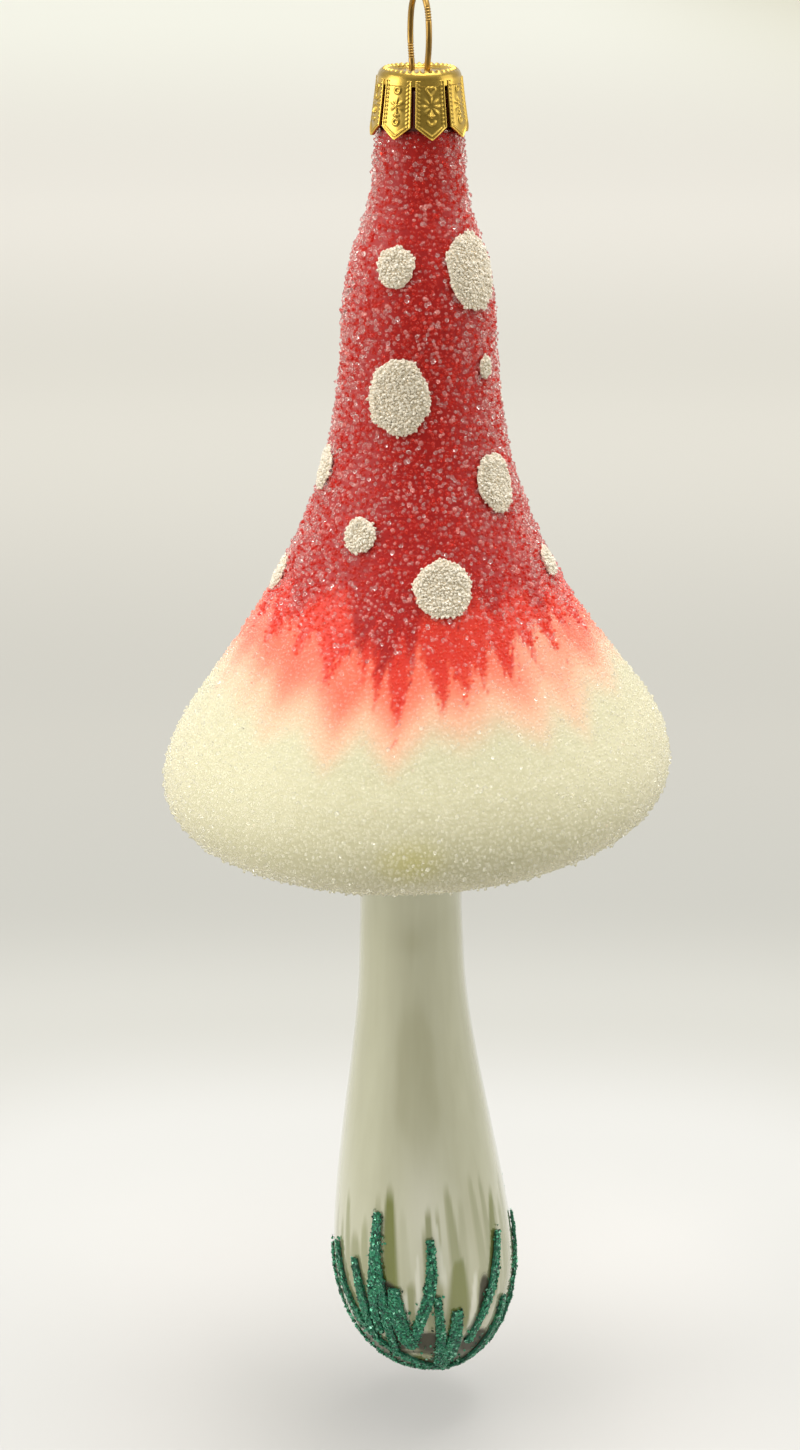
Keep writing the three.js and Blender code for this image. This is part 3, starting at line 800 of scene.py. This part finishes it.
def lumps(draw, centres, size, jitter=0.22):
    """A chipped lump at each centre: the twenty-faced solid's points, each pushed in or out by up
    to `jitter`, stretched along three axes, turned at random and scaled to the grain's size."""
    count = len(centres)
    push = 1 + draw.uniform(-jitter, jitter, (count, 12, 1))
    stretch = draw.uniform(0.75, 1.25, (count, 1, 3))
    shape = ICO_POINTS[None] * push * stretch * (size[:, None, None] / 2)
    points = centres[:, None, :] + np.einsum("gij,gpj->gpi", turns(draw, count), shape)
    faces = ICO_FACES[None] + 12 * np.arange(count)[:, None, None]
    return points.reshape(-1, 3), faces.reshape(-1, 3)


def rings_of(draw, s_from, s_to, pitch):
    """Places on the glass: rings a pitch apart, each with as many places as fit round it, all
    shaken by up to 0.36 of the pitch."""
    s = np.arange(s_from, s_to, pitch)
    r = np.maximum(outline_at(s)[0] + 0.3, 0.5)
    each = np.maximum(np.round(TURN * r / pitch).astype(int), 3)
    ring = np.repeat(np.arange(len(s)), each)
    along = np.arange(len(ring)) - np.repeat(np.cumsum(each) - each, each)
    shake = draw.uniform(-0.36, 0.36, (2, len(ring)))
    phase = draw.uniform(0, 1, len(s))[ring]
    azimuth = TURN * (along + phase + shake[0]) / each[ring]
    return s[ring] + shake[1] * pitch, azimuth


# %% [markdown]
# ## The spots
# A white spot is a patch of finer, denser white grains on a pad of white glue, raised like the
# CAD's own raised patch. The spot's place and size are read back from that patch, with the sway
# taken off, and a rounder pad with grains on it is laid in its place. The grains follow a
# sunflower spiral, which fills an oval evenly.

# %% Read the spots back from the CAD
SPOT_OUT = 0.8  # how far off the glass the middle of a spot lies


def spot_facts(name):
    """Azimuth and length of a spot's middle and its half sizes in mm, from the CAD patch."""
    p = unsway(coordinates(name))
    middle = np.arctan2(p[:, 0].mean(), -p[:, 1].mean())
    azimuth = wrap(np.arctan2(p[:, 0], -p[:, 1]) - middle, TURN)
    s = at_height(p[:, 2])
    a_mid, s_mid = (azimuth.min() + azimuth.max()) / 2, (s.min() + s.max()) / 2
    r = outline_at(s_mid)[0] + SPOT_OUT
    return middle + a_mid, s_mid, np.ptp(azimuth) / 2 * r, np.ptp(s) / 2


spot_names = sorted(n for n in nodes if n.startswith("white_spot"))
spots = np.array([spot_facts(n) for n in spot_names])
print("spots:", len(spots), "widest half in mm:", spots[:, 2].max().round(1))


def ragged(angle, index):
    """A spot's uneven edge: small waves of 3, 5 and 9 round it."""
    return (0.965 + 0.02 * np.sin(3 * angle + index * 1.7) + 0.025 * np.sin(5 * angle + index)
            + 0.02 * np.sin(9 * angle + 2.1 * index) + 0.01 * np.sin(17 * angle + 0.7 * index))


def in_spot(i, share, angle, aside=(0.0, 0.0)):
    """Places in spot i: a share of the way to its edge at an angle, then aside by so many mm."""
    a, s_mid, half_w, half_h = spots[i]
    reach = share * ragged(angle, i)
    s = s_mid - half_h * reach * np.sin(angle) + aside[1]
    across = half_w * reach * np.cos(angle) + aside[0]
    return s, a + across / (outline_at(s)[0] + SPOT_OUT)


def off_spots(s, azimuth, margin):
    """True where a place lies outside every spot by the margin in mm."""
    clear = np.ones(len(s), bool)
    r = outline_at(s)[0] + 0.5
    for i, (a, s_mid, half_w, half_h) in enumerate(spots):
        across, down = wrap(azimuth - a, TURN) * r, s - s_mid
        edge = ragged(np.arctan2(-down, across), i)
        clear &= np.hypot(across / (half_w * edge + margin), down / (half_h * edge + margin)) > 1
    return clear


# %% Grains of the coat
GRAIN_PITCH, GRAIN_SIZE, GRAIN_KEPT = 0.5, 0.5, 0.95
draw = np.random.default_rng(11)
grain_s, grain_a = rings_of(draw, BED_TOP_S + 0.3, BED_END_S, GRAIN_PITCH)
keep = off_spots(grain_s, grain_a, 0.1) & (draw.uniform(size=len(grain_s)) < GRAIN_KEPT)
grain_s, grain_a = grain_s[keep], grain_a[keep]
count = len(grain_s)
# On the bell the grains are a little smaller and sit deeper. Under the cap they are smaller too.
lower = ramp(at_height(-66.0), at_height(-78.0), grain_s)
grain_size = np.clip(draw.normal(GRAIN_SIZE, 0.08, count), 0.3, 0.75) * (1.0 - 0.15 * lower)
grain_size *= 0.7 + 0.3 * ramp(0.0, 4.0, grain_s - BED_TOP_S)
sunk = draw.uniform(0.1, 0.45, count) * (1 - lower) + draw.uniform(0.0, 0.25, count) * lower
grain_out = bed_lift(grain_s) + grain_size * sunk
# Some stand proud of the rest, more of them at the sides than in front.
flank = np.sin(grain_a) ** 2
proud = draw.uniform(size=count) < (0.16 + 0.22 * flank) * (1 - 0.5 * lower)
grain_out += proud * draw.uniform(0.1, 0.3, count)
grain_at = on_glass(grain_s, grain_a, grain_out)

# %% [markdown]
# Glass over paint takes the paint's colour, so most grains are tinted like the paint below them:
# the masks of the bed, shaken by a random draw, sort the grains into a few plain glasses. Clear
# and pink ones lie among the red; the clear ones are many more at the sides and on the neck, as a
# painted sheen for the pale frost that the coat shows where it is seen edge-on. A packed
# layer of them would hold back nearly all light, so they cast no shadow on the paint.

# %% Sort and place the grains
red, coral, deep = cone_paint(wrap(np.degrees(grain_a)), outline_at(grain_s)[1],
                              grain_s < outline_s[WIDEST])
PINK_SHARE, CLEAR_SHARE = 0.15, 0.2
dice = draw.uniform(size=(3, count))
on_red = dice[0] < red
tint = coral + draw.normal(0, 0.07, count)
kind = np.where(on_red, np.where(deep > dice[1], 2, 3), 7 - np.digitize(tint, [0.2, 0.5, 0.8]))
on_neck = 1 - ramp(at_height(-20.0), at_height(-38.0), grain_s)
# Painted sheen: many more clear grains at the sides, and more still on the neck's sides, than in
# front.
clear_for_side_sheen = CLEAR_SHARE * (0.3 + 0.7 * deep) * (0.5 + 1.4 * flank * (1 + 0.8 * on_neck))
kind[on_red & (dice[2] < PINK_SHARE + clear_for_side_sheen)] = 0
kind[on_red & (dice[2] < PINK_SHARE)] = 1
# Proud grains are all clear, which adds to the painted sheen at the sides.
kind[on_red & proud] = 0
# Each row: name, colour, transmission, roughness.
GLASSES = [("clear", (1.0, 0.88, 0.86), 0.95, 0.05), ("pink", (1.0, 0.50, 0.46), 0.75, 0.10),
           ("ruby", (0.84, 0.07, 0.045), 0.8, 0.10), ("scarlet", (0.92, 0.14, 0.08), 0.8, 0.12),
           ("coral", (1.0, 0.66, 0.56), 0.85, 0.12), ("salmon", (1.0, 0.80, 0.70), 0.85, 0.12),
           ("blush", (1.0, 0.92, 0.83), 0.85, 0.12), ("cream", (0.98, 0.96, 0.87), 0.85, 0.10)]
PIECE_GRAINS = 9000
for k, (name, colour, through_it, rough) in enumerate(GLASSES):
    glass, _, _ = new_material(f"{name}_glass", Base_Color=(*colour, 1.0), Roughness=rough,
                               IOR=1.42, Transmission_Weight=through_it)
    chosen = np.flatnonzero(kind == k)
    for part in range(-(-len(chosen) // PIECE_GRAINS)):
        of_part = chosen[part * PIECE_GRAINS:(part + 1) * PIECE_GRAINS]
        points, faces = lumps(draw, grain_at[of_part], grain_size[of_part], 0.12)
        grains = put_mesh(f"{name}_grains_{part + 1}", points, [faces])
        grains.visible_shadow = grains.visible_diffuse = False
        declare(grains, glass, "grain_coat", "bead_frosting")
print("grains:", count)

# %% White grains of the spots
WHITE_AREA, SPOT_TOP = 0.105, 0.73
white_at, white_size = [], []
for i, (_, _, half_w, half_h) in enumerate(spots):
    k = np.arange(int(np.pi * half_w * half_h / WHITE_AREA)) + 0.5
    radius = np.sqrt(k / len(k)) * 1.03
    s, azimuth = in_spot(i, radius, TURN * k / GOLDEN ** 2, draw.uniform(-0.12, 0.12, (2, len(k))))
    white_size.append(draw.uniform(0.32, 0.52, len(k)))
    lift = SPOT_TOP - 0.25 * ramp(0.75, 1.0, radius) + draw.uniform(-0.05, 0.14, len(k))
    white_at.append(on_glass(s, azimuth, lift))
points, faces = lumps(draw, np.concatenate(white_at), np.concatenate(white_size))
white_grains = put_mesh("white_grains", points, [faces], smooth=False)
white_glass, _, _ = new_material("white_grain", Base_Color=(1.0, 0.91, 0.76, 1.0), Roughness=0.12,
                                 IOR=1.5, Transmission_Weight=0.25, Coat_Weight=0.5)
declare(white_grains, white_glass, "white_grains")

# %% White glue pads
# The section of a pad: its reach as a share of the spot's half size, and its height off the glass.
PAD_RING = np.array([0.0, 0.3, 0.6, 0.85, 0.98, 1.02, 0.98, 0.6, 0.0])[:, None]
PAD_LIFT = np.array([0.70, 0.70, 0.69, 0.65, 0.56, 0.46, 0.38, 0.38, 0.38])[:, None]
PAD_AROUND = 60
pad_points, pad_faces = [], []
for i in range(len(spots)):
    s, azimuth = in_spot(i, PAD_RING + 0.004, all_round(PAD_AROUND))
    pad_points.append(on_glass(s, azimuth, PAD_LIFT).reshape(-1, 3))
    pad_faces.append(grid_faces(PAD_RING.size, PAD_AROUND, True, first=i * s.size))
pads = put_mesh("white_pads", np.concatenate(pad_points), [np.concatenate(pad_faces)])
material, tree, shader, speck = speckled("white_glue", 1500.0, 1500.0, 2.0, (0.84, 0.73, 0.57),
                                         (1.0, 0.91, 0.76), Roughness=0.5)
bump(tree, shader, speck, 0.5, 0.0002)
declare(pads, material, "white_grains", *spot_names)

# %% [markdown]
# ## The crown cap
# The cap is stamped from one thin sheet: a low disc inside a knurled ring, a rolled shoulder and
# eight tabs with pointed ends. Each tab is a fine grid laid on a cone, and the stamp is a height
# added to it: a raised edge, a row of beads inside it, a ring, a heart, a flower and a crescent.

# %% Crown cap
SHEET = 0.28
CAP_TOP_Z, DISC_Z = -7.8, -8.15
SHOULDER_R, SHOULDER_Z, SKIRT_R, SKIRT_Z = 4.75, -8.7, 5.6, -15.1
TABS, FIRST_TAB = 8, np.radians(14.5)
TAB_HALF, TAB_STRAIGHT_Z = 1.66, -13.75
TAB_GRID, TOP_AROUND = (88, 44), 272
LEG_HALF, LOOP_TURN = 2.45, np.radians(-70.0)
RELIEF, KNURLS = 0.15, 34


def bell_curve(x, width):
    """exp(-(x / width)^2), a soft ridge."""
    return np.exp(-(x / width) ** 2)


def stamp(u, v, edge, odd):
    """Height of the stamp at u mm across and v mm down a tab, `edge` mm from its border: ridges
    where the distance to each figure's outline is small, so every figure is a raised line. Odd
    tabs have a ring and a star of six rays, even ones a heart and a flower of eight petals."""
    def circle(v_mid, r, width=0.11):
        return bell_curve(np.hypot(u, v - v_mid) - r, width)

    height = 1.2 * bell_curve(edge - 0.10, 0.10)
    height += bell_curve(edge - 0.42, 0.13) * np.cos(np.pi * (v + 0.7 * np.abs(u)) / 0.46) ** 2
    a = np.arctan2(u, v - 2.75)
    if odd:
        height += circle(1.05, 0.32) + circle(4.45, 0.32)
        height += circle(2.75, 0.35, 0.42) * np.cos(3 * a) ** 4 + circle(2.75, 0, 0.16)
    else:
        lobes = np.hypot(np.abs(u) - 0.24, v - 0.95) - 0.26
        point = np.abs(u) + (v - 1.0) * 0.72 - 0.50
        height += bell_curve(np.where(v < 1.0, lobes, point), 0.10) * ramp(1.95, 1.6, v)
        height += circle(2.75, 0.62, 0.42) * np.cos(4 * a) ** 4 * (1 - circle(2.75, 0, 0.3))
        height += circle(4.3, 0.42) * ramp(-0.1, 0.2, v - 4.25)
    height += bell_curve(u, 0.11) * ramp(3.35, 3.5, v) * (1 - ramp(3.95, 4.1, v))
    return RELIEF * (height + bell_curve(v - 3.75, 0.09) * (1 - ramp(0.32, 0.45, np.abs(u))))


def tab_grid(rows, columns):
    """u, v and border distance on one tab: straight sides, then a point. The half width falls
    in a straight line from the end of the straight sides to the tip."""
    v = np.linspace(0, 1, rows)[:, None] * np.ones(columns)[None, :]
    z = SHOULDER_Z + (SKIRT_Z - SHOULDER_Z) * v
    narrowing = np.clip((TAB_STRAIGHT_Z - z) / (TAB_STRAIGHT_Z - SKIRT_Z), 0, 1)
    half = TAB_HALF * (1 + 0.16 * v) * (1 - narrowing) + 0.12 * narrowing
    u = np.linspace(-1, 1, columns) * half
    side = half - np.abs(u)
    return u, z, np.where(narrowing > 0, side * 0.68, side)


tab_u, tab_z, tab_edge = tab_grid(*TAB_GRID)
tab_down = (SHOULDER_Z - tab_z) / (SHOULDER_Z - SKIRT_Z)


def tab_points(azimuth, lift):
    """The tab's grid on the skirt's cone at this azimuth; lift is added along the radius."""
    r = SHOULDER_R + (SKIRT_R - SHOULDER_R) * tab_down ** 1.15 + lift
    return polar(r, azimuth + tab_u / (SHOULDER_R + (SKIRT_R - SHOULDER_R) * tab_down), tab_z)


def slab(rows, columns, first):
    """Faces of a closed slab between two equal grids, the back one stored after the front."""
    size = rows * columns
    rim = np.concatenate([np.arange(columns), np.arange(1, rows) * columns + columns - 1,
                          (rows - 1) * columns + np.arange(columns - 2, -1, -1),
                          np.arange(rows - 2, 0, -1) * columns]) + first
    after = np.roll(rim, -1)
    return np.concatenate([grid_faces(rows, columns, first=first),
                           grid_faces(rows, columns, first=first + size)[:, ::-1],
                           np.stack([rim, rim + size, after + size, after], axis=1)])


cap_points, cap_faces, cap_light_and_shade, start = [], [], [], 0
for k in range(TABS):
    azimuth = FIRST_TAB + TURN * k / TABS
    height = stamp(tab_u, SHOULDER_Z - tab_z, tab_edge, k % 2)
    cap_points += [tab_points(azimuth, lift).reshape(-1, 3) for lift in (height, -SHEET)]
    cap_faces.append(slab(*TAB_GRID, start))
    # The painted light of a tab: raised lines brighter and steep slopes darker; the back is
    # middling.
    raised = height / RELIEF
    steep = np.hypot(*np.gradient(raised))
    cap_light_and_shade += [(0.3 + 0.8 * raised - 1.1 * steep).ravel(), np.full(raised.size, 0.5)]
    start += 2 * raised.size

# The top's section: disc, raised ring and shoulder, then the same again a sheet's thickness in.
top_rz = through(np.array([[0.35, DISC_Z], [2.0, DISC_Z], [3.1, DISC_Z], [3.4, CAP_TOP_Z - 0.05],
                           [3.85, CAP_TOP_Z + 0.02], [4.28, CAP_TOP_Z - 0.08], [4.56, -8.12],
                           [4.7, -8.42], [4.78, SHOULDER_Z - 0.05], [4.84, -9.35]]), 5)
top_r, top_z = top_rz.T
top_in = np.stack([top_r - SHEET * ramp(3.8, 4.6, top_r),
                   top_z - SHEET * (1 - ramp(4.2, 4.75, top_r))], axis=1)[::-1]
sheet_rz = np.concatenate([top_rz, top_in])
rows, top_a = len(sheet_rz), all_round(TOP_AROUND)
outer_side = (np.arange(rows) < len(top_rz))[:, None]
r, z = sheet_rz[:, :1], sheet_rz[:, 1:]
knurl = 0.13 * bell_curve(r - 3.85, 0.36) * np.cos(KNURLS * top_a) * outer_side
leg = np.minimum(*[np.hypot(r * np.sin(top_a) - side * LEG_HALF * np.cos(LOOP_TURN),
                            -r * np.cos(top_a) - side * LEG_HALF * np.sin(LOOP_TURN))
                   for side in (-1, 1)])
punched = 0.22 * bell_curve(leg, 0.42)
# Painted shade on the disc inside the ring and on the shoulder; the knurls get painted light and
# shade.
disc_painted_shade = (1.0 - ramp(2.9, 3.5, r)) * outer_side
shoulder = ramp(4.0, 4.3, r) * (1.0 - ramp(4.7, 4.8, r)) * outer_side
cap_light_and_shade.append((0.5 + 4.5 * knurl - 0.5 * disc_painted_shade - 0.5 * shoulder).ravel())
cap_points.append(polar(r, top_a, z + knurl - punched).reshape(-1, 3))
cap_points.append(np.array([[0, 0, DISC_Z], [0, 0, DISC_Z - SHEET]]))
cap_faces.append(grid_faces(rows, TOP_AROUND, True, False, start)[:, ::-1])
hub = start + rows * TOP_AROUND
hub_faces = [fan(start, TOP_AROUND, hub), fan(hub - TOP_AROUND, TOP_AROUND, hub + 1, flip=True)]
cap = put_mesh("stamped_cap", np.concatenate(cap_points),
               [np.concatenate(cap_faces), np.concatenate(hub_faces)])
cap_light_and_shade = np.clip(np.concatenate([*cap_light_and_shade, [0.2, 0.2]]), 0, 1)
give_colours(cap, "painted_light", cap_light_and_shade, cap_light_and_shade, cap_light_and_shade)

# %% Gold
material, tree, shader = new_material("gold_lacquer", Metallic=1.0, Roughness=0.24)
wear = mottle(tree, 700.0, 700.0, 1.6, 4.0)
drift = mottle(tree, 120.0, 60.0, 1.4)
colour = blend(tree, wear, (0.76, 0.47, 0.075), (0.94, 0.66, 0.15))
colour = blend(tree, span(tree, drift, 0.0, 0.6), colour, (0.70, 0.46, 0.10))
# Painted light and shade: raised lines of the stamp brighter, its slopes and sunk parts darker,
# the disc and the shoulder in painted shade, and the knurls in painted light and shade.
lit_and_shaded = node(tree, "ShaderNodeVectorMath", operation="SCALE")
tree.links.new(colour, lit_and_shaded.inputs[0])
tree.links.new(span(tree, attribute(tree, "painted_light")[0], 0.45, 1.1), lit_and_shaded.inputs["Scale"])
drive(tree, shader, Base_Color=lit_and_shaded.outputs[0], Roughness=span(tree, wear, 0.16, 0.34))
bump(tree, shader, wear, 0.12, 0.0001)
declare(cap, material, "gold_cap", "crown_cap")

# %% [markdown]
# ## The hanger
# One length of round spring wire: a tall loop above the cap, and two legs that pass through the
# disc and spread inside the neck. It is a circle carried along a smooth path in the loop's plane.

# %% Hanger wire
WIRE_R, WIRE_SIDES = 0.35, 18
NICK_PITCH, NICK_DEEP = 0.3, 0.12
half_path = np.array([
    [0, WIRE_R], [1.45, 0.0], [2.4, -1.0], [2.85, -2.4], [3.0, -4.2], [2.9, -5.6], [2.62, -7.0],
    [LEG_HALF, -8.2], [2.5, -10.5], [2.8, -15], [3.35, -21], [4.9, -27]])
wire_uz = through(np.concatenate([half_path[:0:-1] * [-1, 1], half_path]), 40)
along = unit(np.gradient(wire_uz, axis=0))
wire_u, wire_z = wire_uz.T
# The wire is nicked over a short stretch of each side.
left_rough = ramp(-5.2, -5.5, wire_z) * ramp(-7.2, -6.9, wire_z) * (wire_u < 0)
right_rough = ramp(-0.9, -1.2, wire_z) * ramp(-2.6, -2.3, wire_z) * (wire_u > 0)
nicks = NICK_DEEP * (left_rough + right_rough)
nicks *= np.cos(TURN * measured(wire_uz) / NICK_PITCH) - 0.5
radius, ring_a = (WIRE_R * (1 + nicks))[:, None], all_round(WIRE_SIDES)
u = wire_uz[:, :1] - along[:, 1:] * radius * np.cos(ring_a)
w = radius * np.sin(ring_a)
z = wire_uz[:, 1:] + along[:, :1] * radius * np.cos(ring_a)
cos_t, sin_t = np.cos(LOOP_TURN), np.sin(LOOP_TURN)
wire_points = np.stack([u * cos_t - w * sin_t, u * sin_t + w * cos_t, z], axis=-1)
count = len(wire_uz) * WIRE_SIDES
end_faces = [fan(0, WIRE_SIDES, count, flip=True),
             fan(count - WIRE_SIDES, WIRE_SIDES, count + 1)]
wire = put_mesh("spring_wire",
                np.concatenate([wire_points.reshape(-1, 3), wire_points[[0, -1]].mean(axis=1)]),
                [grid_faces(len(wire_uz), WIRE_SIDES, True), np.concatenate(end_faces)])
material, tree, shader, drawn = speckled("drawn_gold_wire", 900.0, 240.0, 1.6,
                                         (0.17, 0.09, 0.03), (0.58, 0.36, 0.10), Metallic=1.0)
drive(tree, shader, Roughness=span(tree, drawn, 0.2, 0.4))
declare(wire, material, "gold_wire", "hanger_wire")

# %% [markdown]
# ## The glitter
# Lines of clear glue were drawn up the foot and dusted with coarse green flakes. The CAD's tufts
# are the glue. Flakes are strewn on their outer faces, evenly by area, and each lies nearly flat
# but never quite, so that some flash and others look almost black.

# %% Flakes on the tufts
FLAKE_AREA, TUFT_TILT, STRAY_TILT = 0.045, 0.33, 0.75
CRUST_DRAWS, SPRINKLE, SPRINKLE_Z = 15000, 0.07, -172.0


def outer_triangles(name):
    """The triangles of a tuft that face away from the stem's axis, their areas and normals."""
    mesh = nodes[name].data
    mesh.calc_loop_triangles()
    index = np.zeros(len(mesh.loop_triangles) * 3, np.int32)
    mesh.loop_triangles.foreach_get("vertices", index)
    tri = coordinates(name)[index.reshape(-1, 3)]
    cross = np.cross(tri[:, 1] - tri[:, 0], tri[:, 2] - tri[:, 0])
    area = np.linalg.norm(cross, axis=1) / 2
    normal = cross / np.maximum(2 * area, 1e-9)[:, None]
    x, y, z = tri.mean(axis=1).T
    out = np.stack([x - aside(z), y, z - np.maximum(z, -168.0)], axis=1)
    facing = (np.einsum("ij,ij->i", normal, out) > 0.0) & (area > 1e-4)
    return tri[facing], area[facing], normal[facing]


def strewn(draw, tri, area, normal, each):
    """Points spread evenly by area over triangles, one for every `each` square millimetres."""
    count = int(area.sum() / each)
    pick = draw.choice(len(area), count, p=area / area.sum())
    a, b = np.sort(draw.uniform(size=(2, count)), axis=0)
    weights = np.stack([a, b - a, 1 - b], axis=1)
    return np.einsum("ij,ijk->ik", weights, tri[pick]), normal[pick]


def flakes(draw, at, normal, size, tilt):
    """A thin lozenge at each point: two squares 0.04 mm apart, tilted off the glue by a random
    lean of the normal and turned at random about it."""
    count = len(at)
    lean = unit(normal + draw.normal(0, 1, (count, 3)) * tilt[:, None])
    side = unit(np.cross(lean, draw.normal(size=(count, 3))))
    corners = np.array([[-1, -0.8], [1, -1], [0.9, 1], [-1, 0.9]])
    flat = side[:, None] * corners[:, :1] + np.cross(lean, side)[:, None] * corners[:, 1:]
    points = np.concatenate([at[:, None] + flat * size[:, None, None] / 2 + lean[:, None] * height
                             for height in (-0.02, 0.02)], axis=1)
    box = np.array([[0, 3, 2, 1], [4, 5, 6, 7], [0, 1, 5, 4], [1, 2, 6, 5], [2, 3, 7, 6],
                    [3, 0, 4, 7]])
    faces = box + 8 * np.arange(count)[:, None, None]
    return points.reshape(-1, 3), faces.reshape(-1, 4)


def stray(draw, at):
    """Flakes that missed the glue: a copy of every seventh flake, moved aside by a random step and
    dropped on the glass. A crust covers the very bottom, below an edge that rises towards the
    sides, and above that edge only a few draws in a hundred stay."""
    x, y, z = unsway(at[::7] + draw.normal(0, 0.35, at[::7].shape)).T
    s = at_height(np.clip(z, FOOT_TOP_Z - FOOT_DEEP + 0.1, -150.0), True)
    low_s = END_S - (END_S - at_height(-162.0, True)) * draw.uniform(0, 1, CRUST_DRAWS) ** 0.75
    low_a = draw.uniform(-np.pi, np.pi, CRUST_DRAWS)
    low_z = outline_at(low_s)[1]
    share = np.maximum(crust_mask(np.degrees(low_a), low_z), SPRINKLE * (low_z < SPRINKLE_Z))
    kept = draw.uniform(size=CRUST_DRAWS) < share
    s, azimuth = np.concatenate([s, low_s[kept]]), np.concatenate([np.arctan2(x, -y), low_a[kept]])
    return on_glass(s, azimuth, draw.uniform(0.05, 0.3, len(s))), outward(s, azimuth)


tuft_names = sorted(n for n in nodes if n.startswith("glitter_tuft"))
spread = [outer_triangles(n) for n in tuft_names]
tri, area, normal = [np.concatenate([s[k] for s in spread]) for k in range(3)]
draw = np.random.default_rng(23)
flake_at, flake_normal = strewn(draw, tri, area, normal, FLAKE_AREA)
flake_at += flake_normal * draw.uniform(-0.08, 0.03, (len(flake_at), 1))
flake_at += draw.normal(0, 0.04, flake_at.shape)
stray_at, stray_normal = stray(draw, flake_at)
flake_tilt = np.repeat([TUFT_TILT, STRAY_TILT], [len(flake_at), len(stray_at)])
flake_at = np.concatenate([flake_at, stray_at])
flake_normal = np.concatenate([flake_normal, stray_normal])
flake_size = draw.uniform(0.2, 0.4, len(flake_at))
tone = draw.choice(4, len(flake_at), p=[0.38, 0.34, 0.20, 0.08])
TONES = [("emerald", (0.02, 0.21, 0.10, 1)), ("sea", (0.055, 0.34, 0.19, 1)),
         ("bottle", (0.004, 0.045, 0.025, 1)), ("mint", (0.25, 0.60, 0.42, 1))]
for k, (name, colour) in enumerate(TONES):
    chosen = tone == k
    points, faces = flakes(draw, flake_at[chosen], flake_normal[chosen], flake_size[chosen],
                           flake_tilt[chosen])
    glitter = put_mesh(f"glitter_{name}", points, [faces], smooth=False)
    foil, _, _ = new_material(f"foil_{name}", Base_Color=colour, Metallic=0.5, Roughness=0.3,
                              Coat_Weight=0.4, Coat_Roughness=0.08)
    declare(glitter, foil, "green_glitter")
print("flakes:", len(flake_at))

# %% Glue of the tufts
material, tree, shader, speck = speckled("green_glue", 1400.0, 1400.0, 2.5, (0.004, 0.05, 0.03),
                                         (0.02, 0.22, 0.13), Roughness=0.3)
bump(tree, shader, speck, 0.8, 0.0003)
for name in tuft_names:
    nodes[name].data.materials.clear()
    nodes[name].data.materials.append(material)
